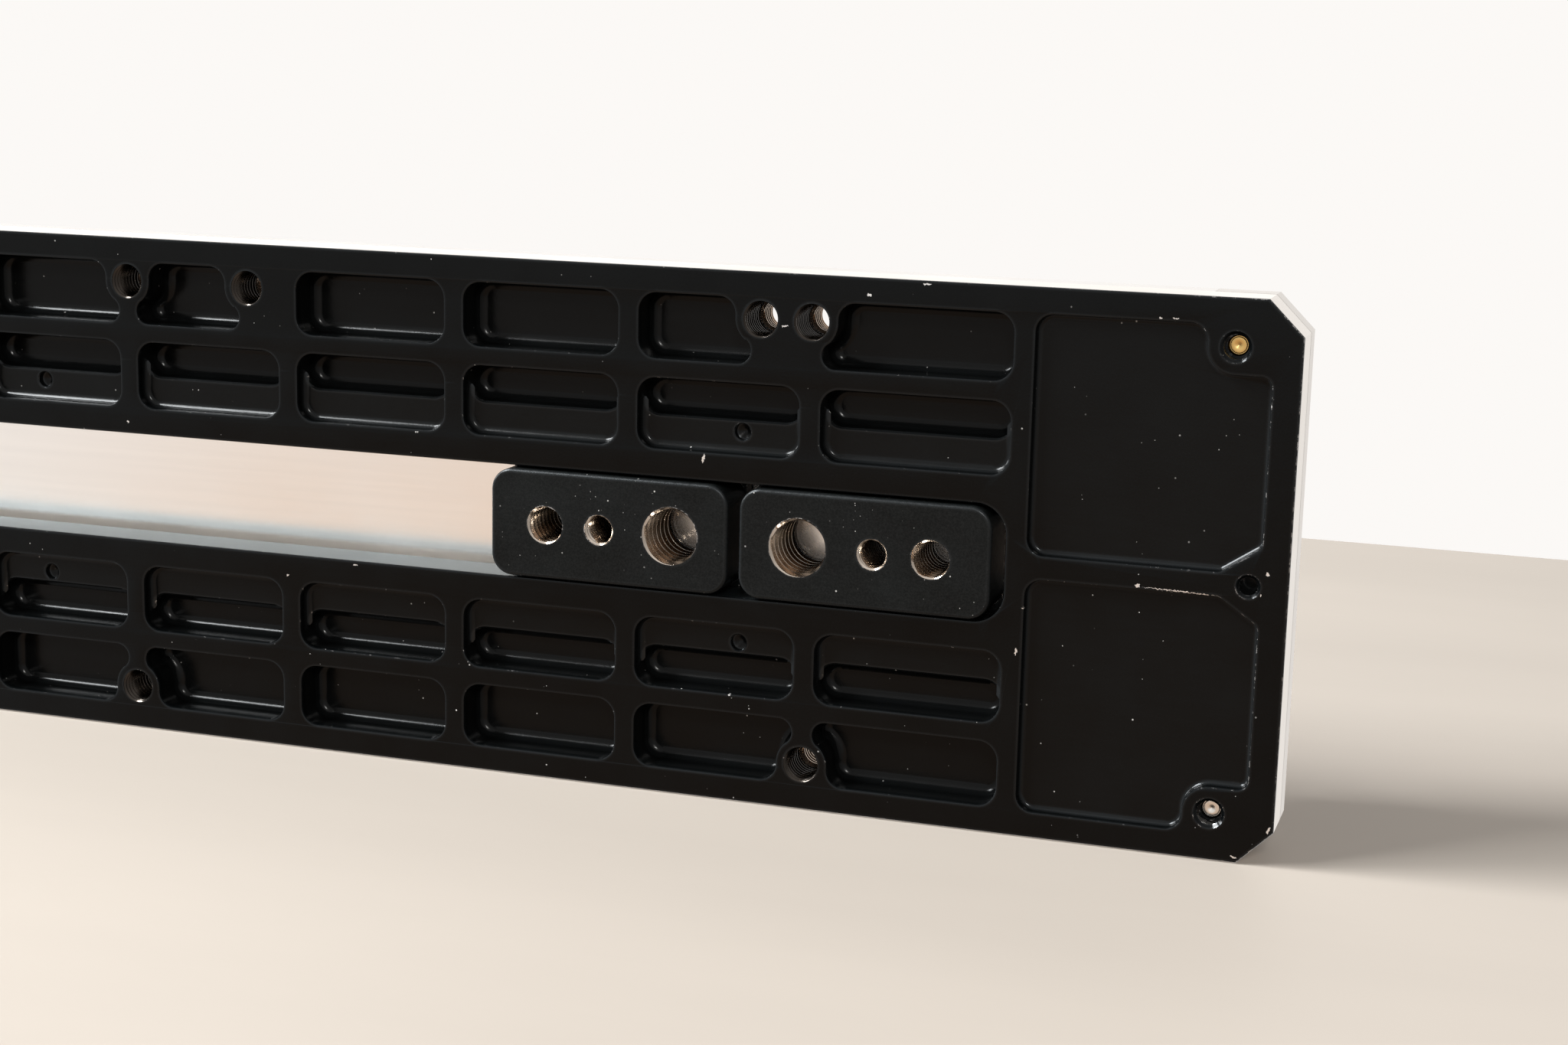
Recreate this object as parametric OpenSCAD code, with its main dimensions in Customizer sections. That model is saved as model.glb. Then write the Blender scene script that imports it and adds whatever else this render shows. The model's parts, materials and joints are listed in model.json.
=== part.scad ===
// Camera slider, lying flat in its position of use.
// +X runs along the track, +Z points up. The origin is the middle of the slot, level with the
// underside of the base plate; the mounting blocks stand a little proud below it.

/* [Track] */
// Overall length of the slider
slider_l = 596; // [480:1:720]
// Width of both plates
plate_w = 80; // [78:1:90]
// Thickness of the black base plate
base_t = 7.3; // [7:0.1:9]
// Thickness of the silver track plate
track_t = 4.7; // [4.5:0.1:7]
// Corner chamfer of the plates
corner_c = 5; // [3:0.5:6]

/* [Slot and pockets] */
// Width of the long slot
slot_w = 17.3; // [17:0.1:19]
// Plain plate left between the slot and each end
end_zone_l = 40.2; // [39:0.1:46]
// Spacing of the cross ribs
rib_pitch = 28.5; // [26:0.5:32]
// Thickness of a cross rib
rib_t = 3.3; // [2.5:0.1:4]
// Depth of the lightening pockets
pocket_deep = 5.8; // [5:0.1:6]
// Depth of the shelf beside the slot
shelf_deep = 2.2; // [1.5:0.1:3]
// Depth of the plain panels at the ends
panel_deep = 1.8; // [1:0.1:2.5]

/* [Mounting blocks] */
// Length of a mounting block
block_l = 38.2; // [38:0.1:40]
// Width of a block where it shows in the slot
block_w = 16.5; // [16:0.1:16.6]
// Height of a mounting block
block_h = 11; // [10.8:0.1:11]
// How far a block stands proud of the base plate
block_proud = 1; // [0.5:0.1:1.5]

/* [Rails and carriage] */
// Diameter of the round rails
rail_d = 10; // [9:0.5:10]
// Distance between the axes of the rails
rail_gauge = 44; // [44:1:46]
// Length of the carriage plate
carriage_l = 110; // [100:1:130]
// Width of the carriage plate
carriage_w = 76; // [76:1:84]
// Length of the camera plate
camera_l = 76; // [76:1:84]
// Width of the camera plate
camera_w = 60; // [58:1:61]
// Diameter of the camera screw's thumb wheel
wheel_d = 62; // [60:1:63]
// Diameter of the brake knob
knob_d = 24; // [18:1:26]

/* [Hidden] */

$fn = 64;
eps = 0.01;
slip = 0.02;           // gap round a screw or pin that is fixed in its hole

// heights of the main layers
joint_z = base_t;
track_z = joint_z + track_t;

// pocket grid
half_l = slider_l / 2;
field_x = half_l - end_zone_l;
last_rib = floor((field_x - 12) / rib_pitch);
inner_row = [12.9, 23.5];
shelf_edge_y = 17.8;
outer_row = [26.4, 36.1];
pocket_r = 2.8;
tool_r = 2.5;          // cutter that goes round the bosses
slot_r = 4.5;

// through holes for accessories
hole_y = 33.1;
hole_r = 2.65;         // in the base plate
thread_r = 2.15;       // in the track plate
boss_r = 4;            // material left round a hole
rib_holes = [for (k = [-last_rib : 4 : last_rib]) k * rib_pitch];
extra_holes = [half_l - 77.8, half_l - 162.5];
dimple_y = 16;
dimples = [half_l - 81, half_l - 201.3];

// end zones
cap_l = 13.5;
panel_far = 37.1;      // ends of a plain panel, from the end of the plate
panel_near = 4;
web_y = 1.75;
corner_screw = [9.2, 33.2];
centre_hole = 5.6;
panel_boss_r = 4.3;

// T channel under the track plate
channel_w = 25;
channel_t = 3;
flange_w = 23.4;
flange_gap = 0.3;

// rails
bed_w = 5.2;
bed_h = 6;
bed_groove = 0.8;
rail_r = rail_d / 2;
rail_y = rail_gauge / 2;
rail_z = track_z + bed_h - bed_groove + rail_r;
rail_end = 6;
rail_screw_x = [for (s = [-1, 1], k = [1 : 2 : last_rib + 1]) s * k * rib_pitch];
m3_r = 1.5;
m3_head_r = 2.75;
m3_head_h = 2.4;

// end caps
tower_in = 4.7;
tower_y = 29.5;
plate_screw_in = 25;
plate_screw_y = [15, 30];
bumper_y = 10;
bumper_t = 5;
bumper_r = 4;

// mounting blocks
block_r = 3.8;
block_gap = 1.8;
block_right_x = field_x - block_gap - block_l / 2;
block_left_x = block_right_x - block_l - block_gap;
big_hole = -10;
small_hole = 1.4;
mid_hole = 10.2;
big_r = 4.0;           // tapping size of 3/8 inch, 16 threads per inch
mid_r = 2.6;           // tapping size of 1/4 inch, 20 threads per inch
small_r = 2.1;         // tapping size of M5
mouth_c = 0.6;

// rollers
roller_r = 8.5;
groove_r = 6.6;
roller_w = 8.4;
inner_w = 9;
inner_ring_r = 3.55;
roller_play = 0.07;
groove_play = 0.05;
roller_x = 34;
roller_y = rail_y - rail_r - groove_r - groove_play;
axle_r = 2.5;
nut_h = 3.8;

// carriage
deck_z = rail_z + rail_r + 1.8;
deck_t = 7;
deck_top = deck_z + deck_t;
cheek_y = [31, 37];
cheek_l = 72;
cheek_low = track_z + 3.5;
cheek_screw_x = 28;
standoff = [32, 23];
standoff_r = 4.5;
standoff_h = 10;
camera_z = deck_top + standoff_h;
camera_t = 6;
camera_top = camera_z + camera_t;
pad_t = 1;
wheel_z = deck_top + 2;
wheel_t = 6;
pivot_r = 4;
stud_r = 4.76;         // 3/8 inch
stud_h = 9;
shank_r = 4.95;        // plain shank below the thread
level_pos = [0, 24.5];
level_l = 22;

// brake
brake_gap = 1;
brake_pad_t = 2;
brake_pad_r = 4;
brake_screw_r = 3;
bush_r = 5;
knob_t = 14;
knob_y = 42;

// the end caps stand level with the middle of the carriage plate
tower_z = deck_z + 6;
bumper_z = deck_z + 3.4;

module at_ends() {
    children();
    mirror([1, 0, 0]) children();
}

module at_sides() {
    children();
    mirror([0, 1, 0]) children();
}

module at_corners(p) {
    for (sx = [-1, 1], sy = [-1, 1]) translate([sx * p[0], sy * p[1], 0]) children();
}

// rounded rectangle between two opposite corners
module round_rect(low, high, r) {
    translate([low[0] + r, low[1]]) square([high[0] - low[0] - 2 * r, high[1] - low[1]]);
    translate([low[0], low[1] + r]) square([high[0] - low[0], high[1] - low[1] - 2 * r]);
    for (x = [low[0] + r, high[0] - r], y = [low[1] + r, high[1] - r])
        translate([x, y]) circle(r);
}

// rectangle centred on the origin with its corners cut off
module cut_rect(l, w, c) {
    polygon([
        [l / 2 - c, w / 2], [c - l / 2, w / 2], [-l / 2, w / 2 - c], [-l / 2, c - w / 2],
        [c - l / 2, -w / 2], [l / 2 - c, -w / 2], [l / 2, c - w / 2], [l / 2, w / 2 - c]
    ]);
}

// cap head screw standing on z = 0 with its shank pointing down
module cap_screw(r, length, head_r, head_h) {
    translate([0, 0, -length]) cylinder(r = r, h = length);
    difference() {
        cylinder(r = head_r, h = head_h);
        translate([0, 0, head_h / 2]) cylinder(r = r * 0.95, h = head_h, $fn = 6);
    }
}

// countersunk screw with its top face at z = 0 and its shank pointing down
module flat_screw(r, length, head_r) {
    difference() {
        union() {
            translate([0, 0, -length]) cylinder(r = r, h = length);
            translate([0, 0, r - head_r]) cylinder(r1 = r, r2 = head_r, h = head_r - r);
        }
        translate([0, 0, -head_r / 2]) cylinder(r = r * 0.75, h = head_r, $fn = 6);
    }
}

// the seat of a countersunk screw
module flat_seat(r, length, head_r) {
    translate([0, 0, -length]) cylinder(r = r + slip, h = length + eps);
    translate([0, 0, r - head_r]) cylinder(r1 = r + slip, r2 = head_r + slip, h = head_r - r);
    translate([0, 0, -eps]) cylinder(r = head_r + slip, h = 1);
}

// ---- base plate ----

function column_low(k) = k == -last_rib - 1 ? -field_x : k * rib_pitch + rib_t / 2;
function column_high(k) = k == last_rib ? field_x : (k + 1) * rib_pitch - rib_t / 2;
function next_rib(x) = ceil(x / rib_pitch) * rib_pitch;

module columns(row) {
    for (k = [-last_rib - 1 : last_rib])
        round_rect([column_low(k), row[0]], [column_high(k), row[1]], pocket_r);
}

// solid left round an accessory hole, with the cutter's fillets towards the edge of the plate
module boss() {
    rise = outer_row[1] - tool_r - hole_y;
    run = sqrt(pow(boss_r + tool_r, 2) - rise * rise);
    circle(boss_r);
    difference() {
        translate([-run, 0]) square([2 * run, rise + tool_r + 1]);
        for (s = [-1, 1]) translate([s * run, rise]) circle(tool_r);
    }
}

module rib_bosses() {
    for (x = rib_holes) translate([x, hole_y]) boss();
}

// a boss that is joined to the next rib
module extra_bosses() {
    for (x = extra_holes) {
        translate([x, hole_y]) boss();
        translate([x - 1.5, outer_row[0] - 1])
            square([next_rib(x) - x + 1.5, outer_row[1] - outer_row[0] + 2]);
    }
}

module outer_pockets(extras) {
    difference() {
        columns(outer_row);
        rib_bosses();
        if (extras) at_ends() extra_bosses();
    }
}

module end_panel() {
    low = [half_l - panel_far, web_y];
    high = [half_l - panel_near, outer_row[1] + 0.1];
    hole = [half_l - corner_screw[0], corner_screw[1]];
    difference() {
        round_rect(low, high, 2.5);
        translate(hole) circle(panel_boss_r);
        translate(hole - [panel_boss_r, 0]) square(3 * panel_boss_r);
        translate(hole - [0, panel_boss_r]) square(3 * panel_boss_r);
        translate([high[0], low[1]]) polygon([[-5.5, -eps], [eps, -eps], [eps, 3.9]]);
    }
}

module sink(depth) {
    translate([0, 0, -1]) linear_extrude(depth + 1) children();
}

module accessory_holes() {
    for (x = rib_holes, s = [-1, 1]) translate([x, s * hole_y]) children();
    at_ends() for (x = extra_holes) translate([x, -hole_y]) children();
}

module base_plate() {
    color([0.06, 0.06, 0.065]) difference() {
        linear_extrude(base_t) cut_rect(slider_l, plate_w, corner_c);
        translate([0, 0, -1]) linear_extrude(joint_z + 2)
            round_rect([-field_x, -slot_w / 2], [field_x, slot_w / 2], slot_r);
        sink(pocket_deep) outer_pockets(false);
        sink(pocket_deep) mirror([0, 1, 0]) outer_pockets(true);
        sink(shelf_deep) at_sides() columns(inner_row);
        sink(pocket_deep) at_sides() columns([shelf_edge_y, inner_row[1]]);
        sink(panel_deep) at_ends() at_sides() end_panel();
        translate([0, 0, -1]) accessory_holes() cylinder(r = hole_r, h = joint_z + 2);
        at_ends() at_sides() for (x = dimples) translate([x, dimple_y, shelf_deep - eps])
            cylinder(r1 = 1.25, r2 = 0.3, h = 1.6);
        at_ends() at_sides() translate([half_l - corner_screw[0], corner_screw[1], 0]) {
            translate([0, 0, -eps]) cylinder(r1 = 2.25, r2 = 1.75, h = 0.5);
            translate([0, 0, -eps]) cylinder(r = 1.75, h = 2.6);
            cylinder(r = m3_r + slip, h = joint_z + 1);
        }
        at_ends() translate([half_l - centre_hole, 0, -eps]) {
            cylinder(r1 = 1.75, r2 = 1.3, h = 0.5);
            cylinder(r = 1.3, h = 5);
        }
        at_ends() at_sides() for (y = plate_screw_y)
            translate([half_l - plate_screw_in, y, joint_z - 4]) cylinder(r = m3_r + slip, h = 5);
    }
}

// ---- track plate ----

module track_plate() {
    l = slider_l - 2 * cap_l;
    color([0.8, 0.8, 0.82]) difference() {
        union() {
            translate([-l / 2, -plate_w / 2, joint_z]) cube([l, plate_w, track_t]);
            at_sides() translate([-l / 2, rail_y - bed_w / 2, track_z - eps])
                cube([l, bed_w, bed_h + eps]);
        }
        translate([-field_x - 1, -channel_w / 2, joint_z - 1])
            cube([2 * field_x + 2, channel_w, channel_t + 1]);
        at_sides() translate([-l, rail_y, rail_z]) rotate([0, 90, 0]) cylinder(r = rail_r, h = 2 * l);
        accessory_holes() translate([0, 0, joint_z - 1]) cylinder(r = thread_r, h = track_t + 2);
        at_sides() for (x = rail_screw_x) translate([x, rail_y, joint_z - 1]) {
            cylinder(r = m3_head_r + slip, h = m3_head_h + 1 + slip);
            cylinder(r = m3_r + slip, h = 20);
        }
        at_ends() at_sides() for (y = plate_screw_y)
            translate([half_l - plate_screw_in, y, track_z]) flat_seat(m3_r, track_t + 1, 3);
    }
}

module rail() {
    l = slider_l - 2 * rail_end;
    color([0.86, 0.87, 0.9]) difference() {
        translate([-l / 2, rail_y, rail_z]) rotate([0, 90, 0]) cylinder(r = rail_r, h = l);
        for (x = rail_screw_x) translate([x, rail_y, rail_z - rail_r - 1])
            cylinder(r = m3_r + slip, h = 5);
    }
}

module rail_rear() {
    rail();
}

module rail_front() {
    mirror([0, 1, 0]) rail();
}

module rail_screws() {
    color([0.5, 0.5, 0.52]) at_sides() for (x = rail_screw_x)
        translate([x, rail_y, joint_z + m3_head_h]) mirror([0, 0, 1])
            cap_screw(m3_r, rail_z - rail_r + 3 - joint_z - m3_head_h, m3_head_r, m3_head_h);
}

module plate_screws() {
    color([0.2, 0.2, 0.2]) at_ends() at_sides() for (y = plate_screw_y)
        translate([half_l - plate_screw_in, y, track_z]) flat_screw(m3_r, track_t + 3.8, 3);
}

// ---- end caps ----

module end_cap_right() {
    color([0.82, 0.82, 0.84]) difference() {
        union() {
            translate([0, 0, joint_z]) linear_extrude(track_t) intersection() {
                cut_rect(slider_l, plate_w, corner_c);
                translate([half_l - cap_l + slip, -plate_w / 2]) square([cap_l, plate_w]);
            }
            translate([half_l - cap_l + slip, -tower_y, track_z - eps])
                cube([cap_l - slip - tower_in, 2 * tower_y, tower_z - track_z]);
        }
        at_sides() translate([half_l - cap_l - 1, rail_y, rail_z]) rotate([0, 90, 0])
            cylinder(r = rail_r + slip, h = cap_l + 1 - rail_end + 0.2);
        at_sides() translate([half_l - corner_screw[0], corner_screw[1], joint_z - 1])
            cylinder(r = m3_r + slip, h = track_t + 2);
        at_sides() translate([half_l - cap_l - 1, bumper_y, bumper_z]) rotate([0, 90, 0])
            cylinder(r = m3_r + slip, h = 4.2);
    }
}

module end_cap_left() {
    mirror([1, 0, 0]) end_cap_right();
}

module corner_screw_shape() {
    translate([half_l - corner_screw[0], corner_screw[1], track_z])
        cap_screw(m3_r, track_z - 2.8, m3_head_r, 3);
}

// the rear right corner and both left corners
module corner_screws() {
    color([0.75, 0.75, 0.76]) {
        corner_screw_shape();
        mirror([1, 0, 0]) at_sides() corner_screw_shape();
    }
}

module corner_screw_brass() {
    color([0.75, 0.6, 0.3]) mirror([0, 1, 0]) corner_screw_shape();
}

module bumpers_right() {
    color([0.08, 0.08, 0.08]) at_sides()
        translate([half_l - cap_l + slip, bumper_y, bumper_z]) rotate([0, -90, 0]) {
            cylinder(r = bumper_r, h = bumper_t - 1);
            translate([0, 0, bumper_t - 1 - eps]) cylinder(r1 = bumper_r, r2 = bumper_r - 1, h = 1);
            translate([0, 0, -3]) cylinder(r = m3_r, h = 3 + eps);
        }
}

module bumpers_left() {
    mirror([1, 0, 0]) bumpers_right();
}

// ---- mounting blocks ----

module tapped_hole(x, r, mouth_r) {
    translate([x, 0, -1]) cylinder(r = r, h = block_h + 2);
    translate([x, 0, -eps]) cylinder(r1 = mouth_r, r2 = r, h = mouth_r - r);
}

// block with its face at z = 0 and the flange that the T channel holds on top
module mount_block() {
    flange_z = block_proud + joint_z + flange_gap;
    color([0.1, 0.1, 0.11]) difference() {
        union() {
            linear_extrude(flange_z + eps)
                round_rect([-block_l / 2, -block_w / 2], [block_l / 2, block_w / 2], block_r);
            translate([0, 0, flange_z]) linear_extrude(block_h - flange_z)
                round_rect([-block_l / 2, -flange_w / 2], [block_l / 2, flange_w / 2], block_r);
        }
        tapped_hole(big_hole, big_r, big_r + mouth_c);
        tapped_hole(small_hole, small_r, small_r + mouth_c / 2);
        tapped_hole(mid_hole, mid_r, mid_r + mouth_c / 2);
    }
}

module mount_block_right() {
    translate([block_right_x, 0, -block_proud]) mount_block();
}

module mount_block_left() {
    translate([block_left_x, 0, -block_proud]) mirror([1, 0, 0]) mount_block();
}

// ---- carriage ----

module deck_plate(l, w, t, r) {
    linear_extrude(t) round_rect([-l / 2, -w / 2], [l / 2, w / 2], r);
}

module carriage_plate() {
    color([0.09, 0.09, 0.1]) difference() {
        translate([0, 0, deck_z]) deck_plate(carriage_l, carriage_w, deck_t, 6);
        translate([0, 0, deck_z - 1]) cylinder(r = pivot_r + roller_play, h = deck_t + 2);
        at_corners([roller_x, roller_y]) translate([0, 0, deck_z - 1]) {
            cylinder(r = axle_r + slip, h = deck_t + 2);
            translate([0, 0, 1 + deck_t - 3]) cylinder(r = 4.6, h = 4);
        }
        at_corners(standoff) translate([0, 0, deck_z]) mirror([0, 0, 1])
            flat_seat(m3_r, deck_t + 1, 3);
        at_corners([cheek_screw_x, (cheek_y[0] + cheek_y[1]) / 2]) translate([0, 0, deck_top])
            flat_seat(m3_r, deck_t + 1, 3);
    }
}

module cheek() {
    difference() {
        translate([-cheek_l / 2, cheek_y[0], cheek_low])
            cube([cheek_l, cheek_y[1] - cheek_y[0], deck_z - cheek_low]);
        for (x = [-cheek_screw_x, cheek_screw_x])
            translate([x, (cheek_y[0] + cheek_y[1]) / 2, deck_z - 7]) cylinder(r = m3_r + slip, h = 8);
    }
}

module cheek_rear() {
    color([0.09, 0.09, 0.1]) cheek();
}

module cheek_front() {
    color([0.09, 0.09, 0.1]) difference() {
        mirror([0, 1, 0]) cheek();
        translate([0, -cheek_y[0] + 1, rail_z]) rotate([90, 0, 0]) cylinder(r = bush_r + slip, h = 20);
    }
}

module cheek_screws() {
    color([0.2, 0.2, 0.2]) at_corners([cheek_screw_x, (cheek_y[0] + cheek_y[1]) / 2])
        translate([0, 0, deck_top]) flat_screw(m3_r, deck_t + 6.8, 3);
}

// ---- rollers ----

// grooved outer ring with its side shields
module roller(sx, sy) {
    color([0.7, 0.71, 0.73]) translate([sx * roller_x, sy * roller_y, rail_z])
        rotate_extrude($fn = 96) difference() {
            translate([inner_ring_r + roller_play, -roller_w / 2])
                square([roller_r - inner_ring_r - roller_play, roller_w]);
            translate([groove_r + rail_r + groove_play, 0]) circle(rail_r + groove_play);
        }
}

module roller_front_left() {
    roller(-1, -1);
}

module roller_front_right() {
    roller(1, -1);
}

module roller_rear_left() {
    roller(-1, 1);
}

module roller_rear_right() {
    roller(1, 1);
}

module tube_z(r_in, r_out, h) {
    difference() {
        cylinder(r = r_out, h = h);
        translate([0, 0, -1]) cylinder(r = r_in, h = h + 2);
    }
}

module roller_inner_rings() {
    color([0.75, 0.75, 0.77]) at_corners([roller_x, roller_y])
        translate([0, 0, rail_z - inner_w / 2]) tube_z(axle_r + slip, inner_ring_r, inner_w);
}

module roller_spacers() {
    color([0.7, 0.7, 0.7]) for (s = [-1, 1])
        translate([s * roller_x, -roller_y, rail_z + inner_w / 2])
            tube_z(axle_r + slip, 4.2, deck_z - rail_z - inner_w / 2);
}

module eccentric_spacers() {
    color([0.75, 0.65, 0.4]) for (s = [-1, 1])
        translate([s * roller_x, roller_y, rail_z + inner_w / 2]) difference() {
            cylinder(r = 5.2, h = deck_z - rail_z - inner_w / 2, $fn = 6);
            translate([0, 0, -1]) cylinder(r = axle_r + slip, h = 10);
        }
}

module axle_bolts() {
    color([0.3, 0.3, 0.32]) at_corners([roller_x, roller_y]) translate([0, 0, deck_top - 3])
        cap_screw(axle_r, deck_top - 3 - rail_z + inner_w / 2 + nut_h, 4.4, 2.8);
}

module axle_nuts() {
    color([0.6, 0.6, 0.62]) at_corners([roller_x, roller_y])
        translate([0, 0, rail_z - inner_w / 2 - nut_h]) difference() {
            cylinder(r = 4.6, h = nut_h, $fn = 6);
            translate([0, 0, -1]) cylinder(r = axle_r + slip, h = nut_h + 2);
        }
}

// ---- camera mount ----

module standoffs() {
    color([0.7, 0.7, 0.72]) at_corners(standoff) translate([0, 0, deck_top])
        tube_z(m3_r + slip, standoff_r, standoff_h);
}

module standoff_screws() {
    color([0.2, 0.2, 0.2]) at_corners(standoff) translate([0, 0, deck_z]) mirror([0, 0, 1])
        flat_screw(m3_r, deck_t + standoff_h / 2 - 0.2, 3);
}

module camera_plate() {
    color([0.09, 0.09, 0.1]) difference() {
        translate([0, 0, camera_z]) deck_plate(camera_l, camera_w, camera_t, 6);
        translate([0, 0, camera_z - 1]) cylinder(r = shank_r + roller_play, h = camera_t + 2);
        at_corners(standoff) translate([0, 0, camera_top]) flat_seat(m3_r, camera_t + 1, 3);
        translate([level_pos[0] - level_l / 2 - slip, -level_pos[1] - 3.6 - slip, camera_top - 3.5])
            cube([level_l + 2 * slip, 7.2 + 2 * slip, 5]);
    }
}

module camera_plate_screws() {
    color([0.2, 0.2, 0.2]) at_corners(standoff) translate([0, 0, camera_top])
        flat_screw(m3_r, camera_t + standoff_h / 2 - 0.2, 3);
}

module rubber_pad() {
    color([0.05, 0.05, 0.05]) translate([0, 0, camera_top]) tube_z(8, 19, pad_t);
}

module level_holder() {
    color([0.15, 0.15, 0.16]) translate([level_pos[0], -level_pos[1], camera_top - 3.5])
        difference() {
            translate([-level_l / 2, -3.6, 0]) cube([level_l, 7.2, 4.3]);
            translate([-level_l / 2 + 2, 0, 3.5]) rotate([0, 90, 0])
                cylinder(r = 2.6 + slip, h = level_l - 4);
        }
}

module level_vial() {
    color([0.7, 0.95, 0.3]) translate([level_pos[0] - level_l / 2 + 2.1, -level_pos[1], camera_top])
        rotate([0, 90, 0]) cylinder(r = 2.6, h = level_l - 4.2);
}

module thumb_wheel() {
    flutes = 30;
    color([0.12, 0.12, 0.13]) translate([0, 0, wheel_z]) difference() {
        cylinder(r = wheel_d / 2, h = wheel_t, $fn = 128);
        translate([0, 0, -1]) cylinder(r = 6, h = wheel_t + 2);
        for (a = [0 : 360 / flutes : 359]) rotate(a) translate([wheel_d / 2 + 0.6, 0, -1])
            cylinder(r = 1.6, h = wheel_t + 2);
    }
}

module camera_screw() {
    wheel_top = wheel_z + wheel_t;
    color([0.75, 0.76, 0.78]) {
        translate([0, 0, deck_z + 1]) cylinder(r = pivot_r, h = wheel_z - deck_z - 1 + eps);
        translate([0, 0, wheel_z]) cylinder(r = 6 - slip, h = wheel_t);
        translate([0, 0, wheel_top - eps]) cylinder(r = 7.5, h = camera_z - wheel_top - 0.3);
        translate([0, 0, camera_z - 0.4]) cylinder(r = shank_r, h = camera_t + 0.4);
        translate([0, 0, camera_top]) cylinder(r = stud_r, h = stud_h - 1);
        translate([0, 0, camera_top + stud_h - 1]) cylinder(r1 = stud_r, r2 = stud_r - 1, h = 1);
    }
}

// ---- brake, turned from the front ----

module along_y() {
    translate([0, 0, rail_z]) rotate([90, 0, 0]) children();
}

module brake_bush() {
    color([0.75, 0.6, 0.3]) along_y() translate([0, 0, cheek_y[0]])
        tube_z(brake_screw_r + roller_play, bush_r, cheek_y[1] - cheek_y[0] + 0.6);
}

module brake_pad() {
    color([0.85, 0.85, 0.8]) along_y() translate([0, 0, rail_y + rail_r + brake_gap]) difference() {
        cylinder(r = brake_pad_r, h = brake_pad_t);
        translate([0, 0, 1]) cylinder(r = 2 + roller_play, h = 3);
    }
}

module brake_screw() {
    tip = rail_y + rail_r + brake_gap + 1.05;
    color([0.6, 0.6, 0.62]) along_y() {
        translate([0, 0, tip]) cylinder(r = 2, h = 2);
        translate([0, 0, tip + 1.2]) cylinder(r = brake_screw_r, h = knob_y + 8 - tip - 1.2);
    }
}

module brake_knob() {
    flutes = 10;
    color([0.1, 0.1, 0.1]) along_y() translate([0, 0, knob_y]) difference() {
        union() {
            cylinder(r = 7, h = 3);
            translate([0, 0, 2]) cylinder(r = knob_d / 2, h = knob_t - 3);
            translate([0, 0, knob_t - 1 - eps])
                cylinder(r1 = knob_d / 2, r2 = knob_d / 2 - 1, h = 1);
        }
        translate([0, 0, -1]) cylinder(r = brake_screw_r + slip, h = 9 + slip);
        for (a = [0 : 360 / flutes : 359]) rotate(a) translate([knob_d / 2 + 1.6, 0, -1])
            cylinder(r = 3, h = knob_t + 2);
    }
}

base_plate();
track_plate();
end_cap_left();
end_cap_right();
rail_front();
rail_rear();
rail_screws();
plate_screws();
corner_screws();
corner_screw_brass();
bumpers_left();
bumpers_right();
mount_block_left();
mount_block_right();
carriage_plate();
cheek_front();
cheek_rear();
cheek_screws();
roller_front_left();
roller_front_right();
roller_rear_left();
roller_rear_right();
roller_inner_rings();
roller_spacers();
eccentric_spacers();
axle_bolts();
axle_nuts();
standoffs();
standoff_screws();
camera_plate();
camera_plate_screws();
rubber_pad();
level_holder();
level_vial();
thumb_wheel();
camera_screw();
brake_bush();
brake_pad();
brake_screw();
brake_knob();
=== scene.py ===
import json
from math import atan2, ceil, copysign, cos, degrees, dist, hypot, pi, radians, sin, sqrt, tau

import bmesh
import bpy
from mathutils import Matrix, Vector
from mathutils.geometry import tessellate_polygon


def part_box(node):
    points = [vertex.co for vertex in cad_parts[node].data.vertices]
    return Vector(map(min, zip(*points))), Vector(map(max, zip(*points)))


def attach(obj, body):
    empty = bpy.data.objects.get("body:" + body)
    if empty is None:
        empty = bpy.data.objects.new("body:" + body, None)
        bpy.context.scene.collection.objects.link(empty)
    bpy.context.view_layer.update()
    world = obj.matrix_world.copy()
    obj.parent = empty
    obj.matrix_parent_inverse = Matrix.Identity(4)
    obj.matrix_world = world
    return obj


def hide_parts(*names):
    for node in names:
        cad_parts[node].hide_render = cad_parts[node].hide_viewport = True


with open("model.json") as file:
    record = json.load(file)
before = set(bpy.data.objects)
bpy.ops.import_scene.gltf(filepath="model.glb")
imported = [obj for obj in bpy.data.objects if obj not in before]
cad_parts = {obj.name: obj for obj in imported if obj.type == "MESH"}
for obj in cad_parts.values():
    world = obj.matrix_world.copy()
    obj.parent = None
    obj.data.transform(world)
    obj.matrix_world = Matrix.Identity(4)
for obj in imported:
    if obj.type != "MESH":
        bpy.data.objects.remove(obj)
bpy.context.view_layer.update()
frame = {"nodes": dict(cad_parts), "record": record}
record = frame["record"]
BODY = {n: body for body, names in record["behaviour"]["bodies"].items() for n in names}

MM = 0.001
SAME = Matrix.Identity(4)
ALONG_X = Matrix.Rotation(pi / 2, 4, "Y")     # local z points along +X
SECTION_X = Matrix(((0, 0, 1, 0), (1, 0, 0, 0), (0, 1, 0, 0), (0, 0, 0, 1)))    # local x, y, z are Y, Z, X
ALONG_Y = Matrix.Rotation(-pi / 2, 4, "X")    # local z points along +Y
BACK_Y = Matrix.Rotation(pi / 2, 4, "X")      # local z points along -Y


def move(x=0.0, y=0.0, z=0.0):
    return Matrix.Translation((x, y, z))


def mirror(x=1, y=1, z=1):
    return Matrix.Diagonal((x, y, z, 1))


def size(node):
    low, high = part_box(node)
    return [v / MM for v in low], [v / MM for v in high]


def levels(node):
    """The node's lowest and highest z."""
    low, high = size(node)
    return low[2], high[2]


def reach(node):
    """Where the node begins and ends along -Y."""
    low, high = size(node)
    return -high[1], -low[1]


# ------------ outlines
# An outline is a closed list of (x, y, nx, ny), counter-clockwise, with its normals pointing out.
# Steps are a list of (offset along the normals, z), by which an outline is swept into a wall.

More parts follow.
